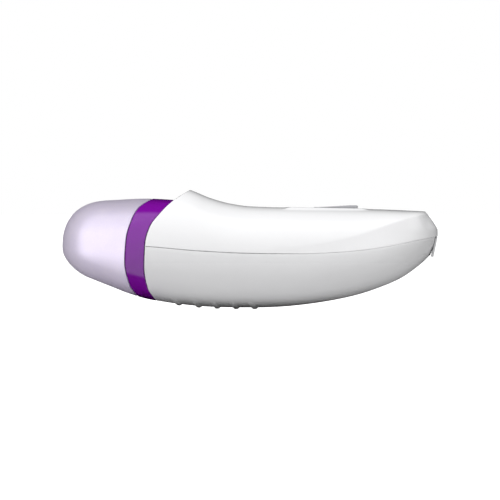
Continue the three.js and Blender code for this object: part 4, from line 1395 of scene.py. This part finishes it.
class EPILATOR_OT_add_inlet(bpy.types.Operator):
    """Models the inlet's plate, socket and pins."""

    bl_idname = "epilator.add_inlet"
    bl_label = "Add cord inlet"

    def execute(self, context):
        make_bezel()
        make_socket()
        make_pin("left", -PIN["y"])
        make_pin("right", PIN["y"])
        return {"FINISHED"}


class EPILATOR_OT_add_head(bpy.types.Operator):
    """Models the tweezer head's cover."""

    bl_idname = "epilator.add_head"
    bl_label = "Add head cover"

    def execute(self, context):
        make_cover()
        return {"FINISHED"}


class EPILATOR_OT_add_discs(bpy.types.Operator):
    """Models one tweezer disc for each place on the drum."""

    bl_idname = "epilator.add_discs"
    bl_label = "Add tweezer discs"

    def execute(self, context):
        make_discs()
        return {"FINISHED"}


class EPILATOR_OT_paint_inside(bpy.types.Operator):
    """Gives the inner parts, whose CAD shapes stay, their finishes."""

    bl_idname = "epilator.paint_inside"
    bl_label = "Paint inner parts"

    def execute(self, context):
        paint_inner_parts()
        return {"FINISHED"}


class EPILATOR_OT_add_stage(bpy.types.Operator):
    """Sets the floor, the studio light and the camera."""

    bl_idname = "epilator.add_stage"
    bl_label = "Add studio"

    def execute(self, context):
        make_stage()
        return {"FINISHED"}


class EPILATOR_PT_sidebar(bpy.types.Panel):
    """Lists the epilator's steps in the 3D view's sidebar."""

    bl_label = "Epilator"
    bl_idname = "EPILATOR_PT_sidebar"
    bl_space_type = "VIEW_3D"
    bl_region_type = "UI"
    bl_category = "Epilator"

    def draw(self, context):
        column = self.layout.column(align=True)
        for step in STEPS:
            column.operator(step.bl_idname)
        for group in (context.scene.epilator_sizes, context.scene.epilator_colours):
            box = self.layout.box()
            for name in group.__annotations__:
                box.prop(group, name)


STEPS = (
    EPILATOR_OT_paint_inside,
    EPILATOR_OT_add_cap,
    EPILATOR_OT_add_ring,
    EPILATOR_OT_add_front,
    EPILATOR_OT_add_rear,
    EPILATOR_OT_add_knob,
    EPILATOR_OT_add_inlet,
    EPILATOR_OT_add_head,
    EPILATOR_OT_add_discs,
    EPILATOR_OT_add_stage,
)
CLASSES = (EpilatorSizes, EpilatorColours, *STEPS, EPILATOR_PT_sidebar)


def register():
    for made in CLASSES:
        bpy.utils.register_class(made)
    bpy.types.Scene.epilator_sizes = PointerProperty(type=EpilatorSizes)
    bpy.types.Scene.epilator_colours = PointerProperty(type=EpilatorColours)


def unregister():
    del bpy.types.Scene.epilator_colours
    del bpy.types.Scene.epilator_sizes
    for made in reversed(CLASSES):
        bpy.utils.unregister_class(made)


def main():
    register()
    for step in STEPS:
        getattr(bpy.ops.epilator, step.bl_idname.split(".")[1])()


if __name__ == "__main__":
    main()
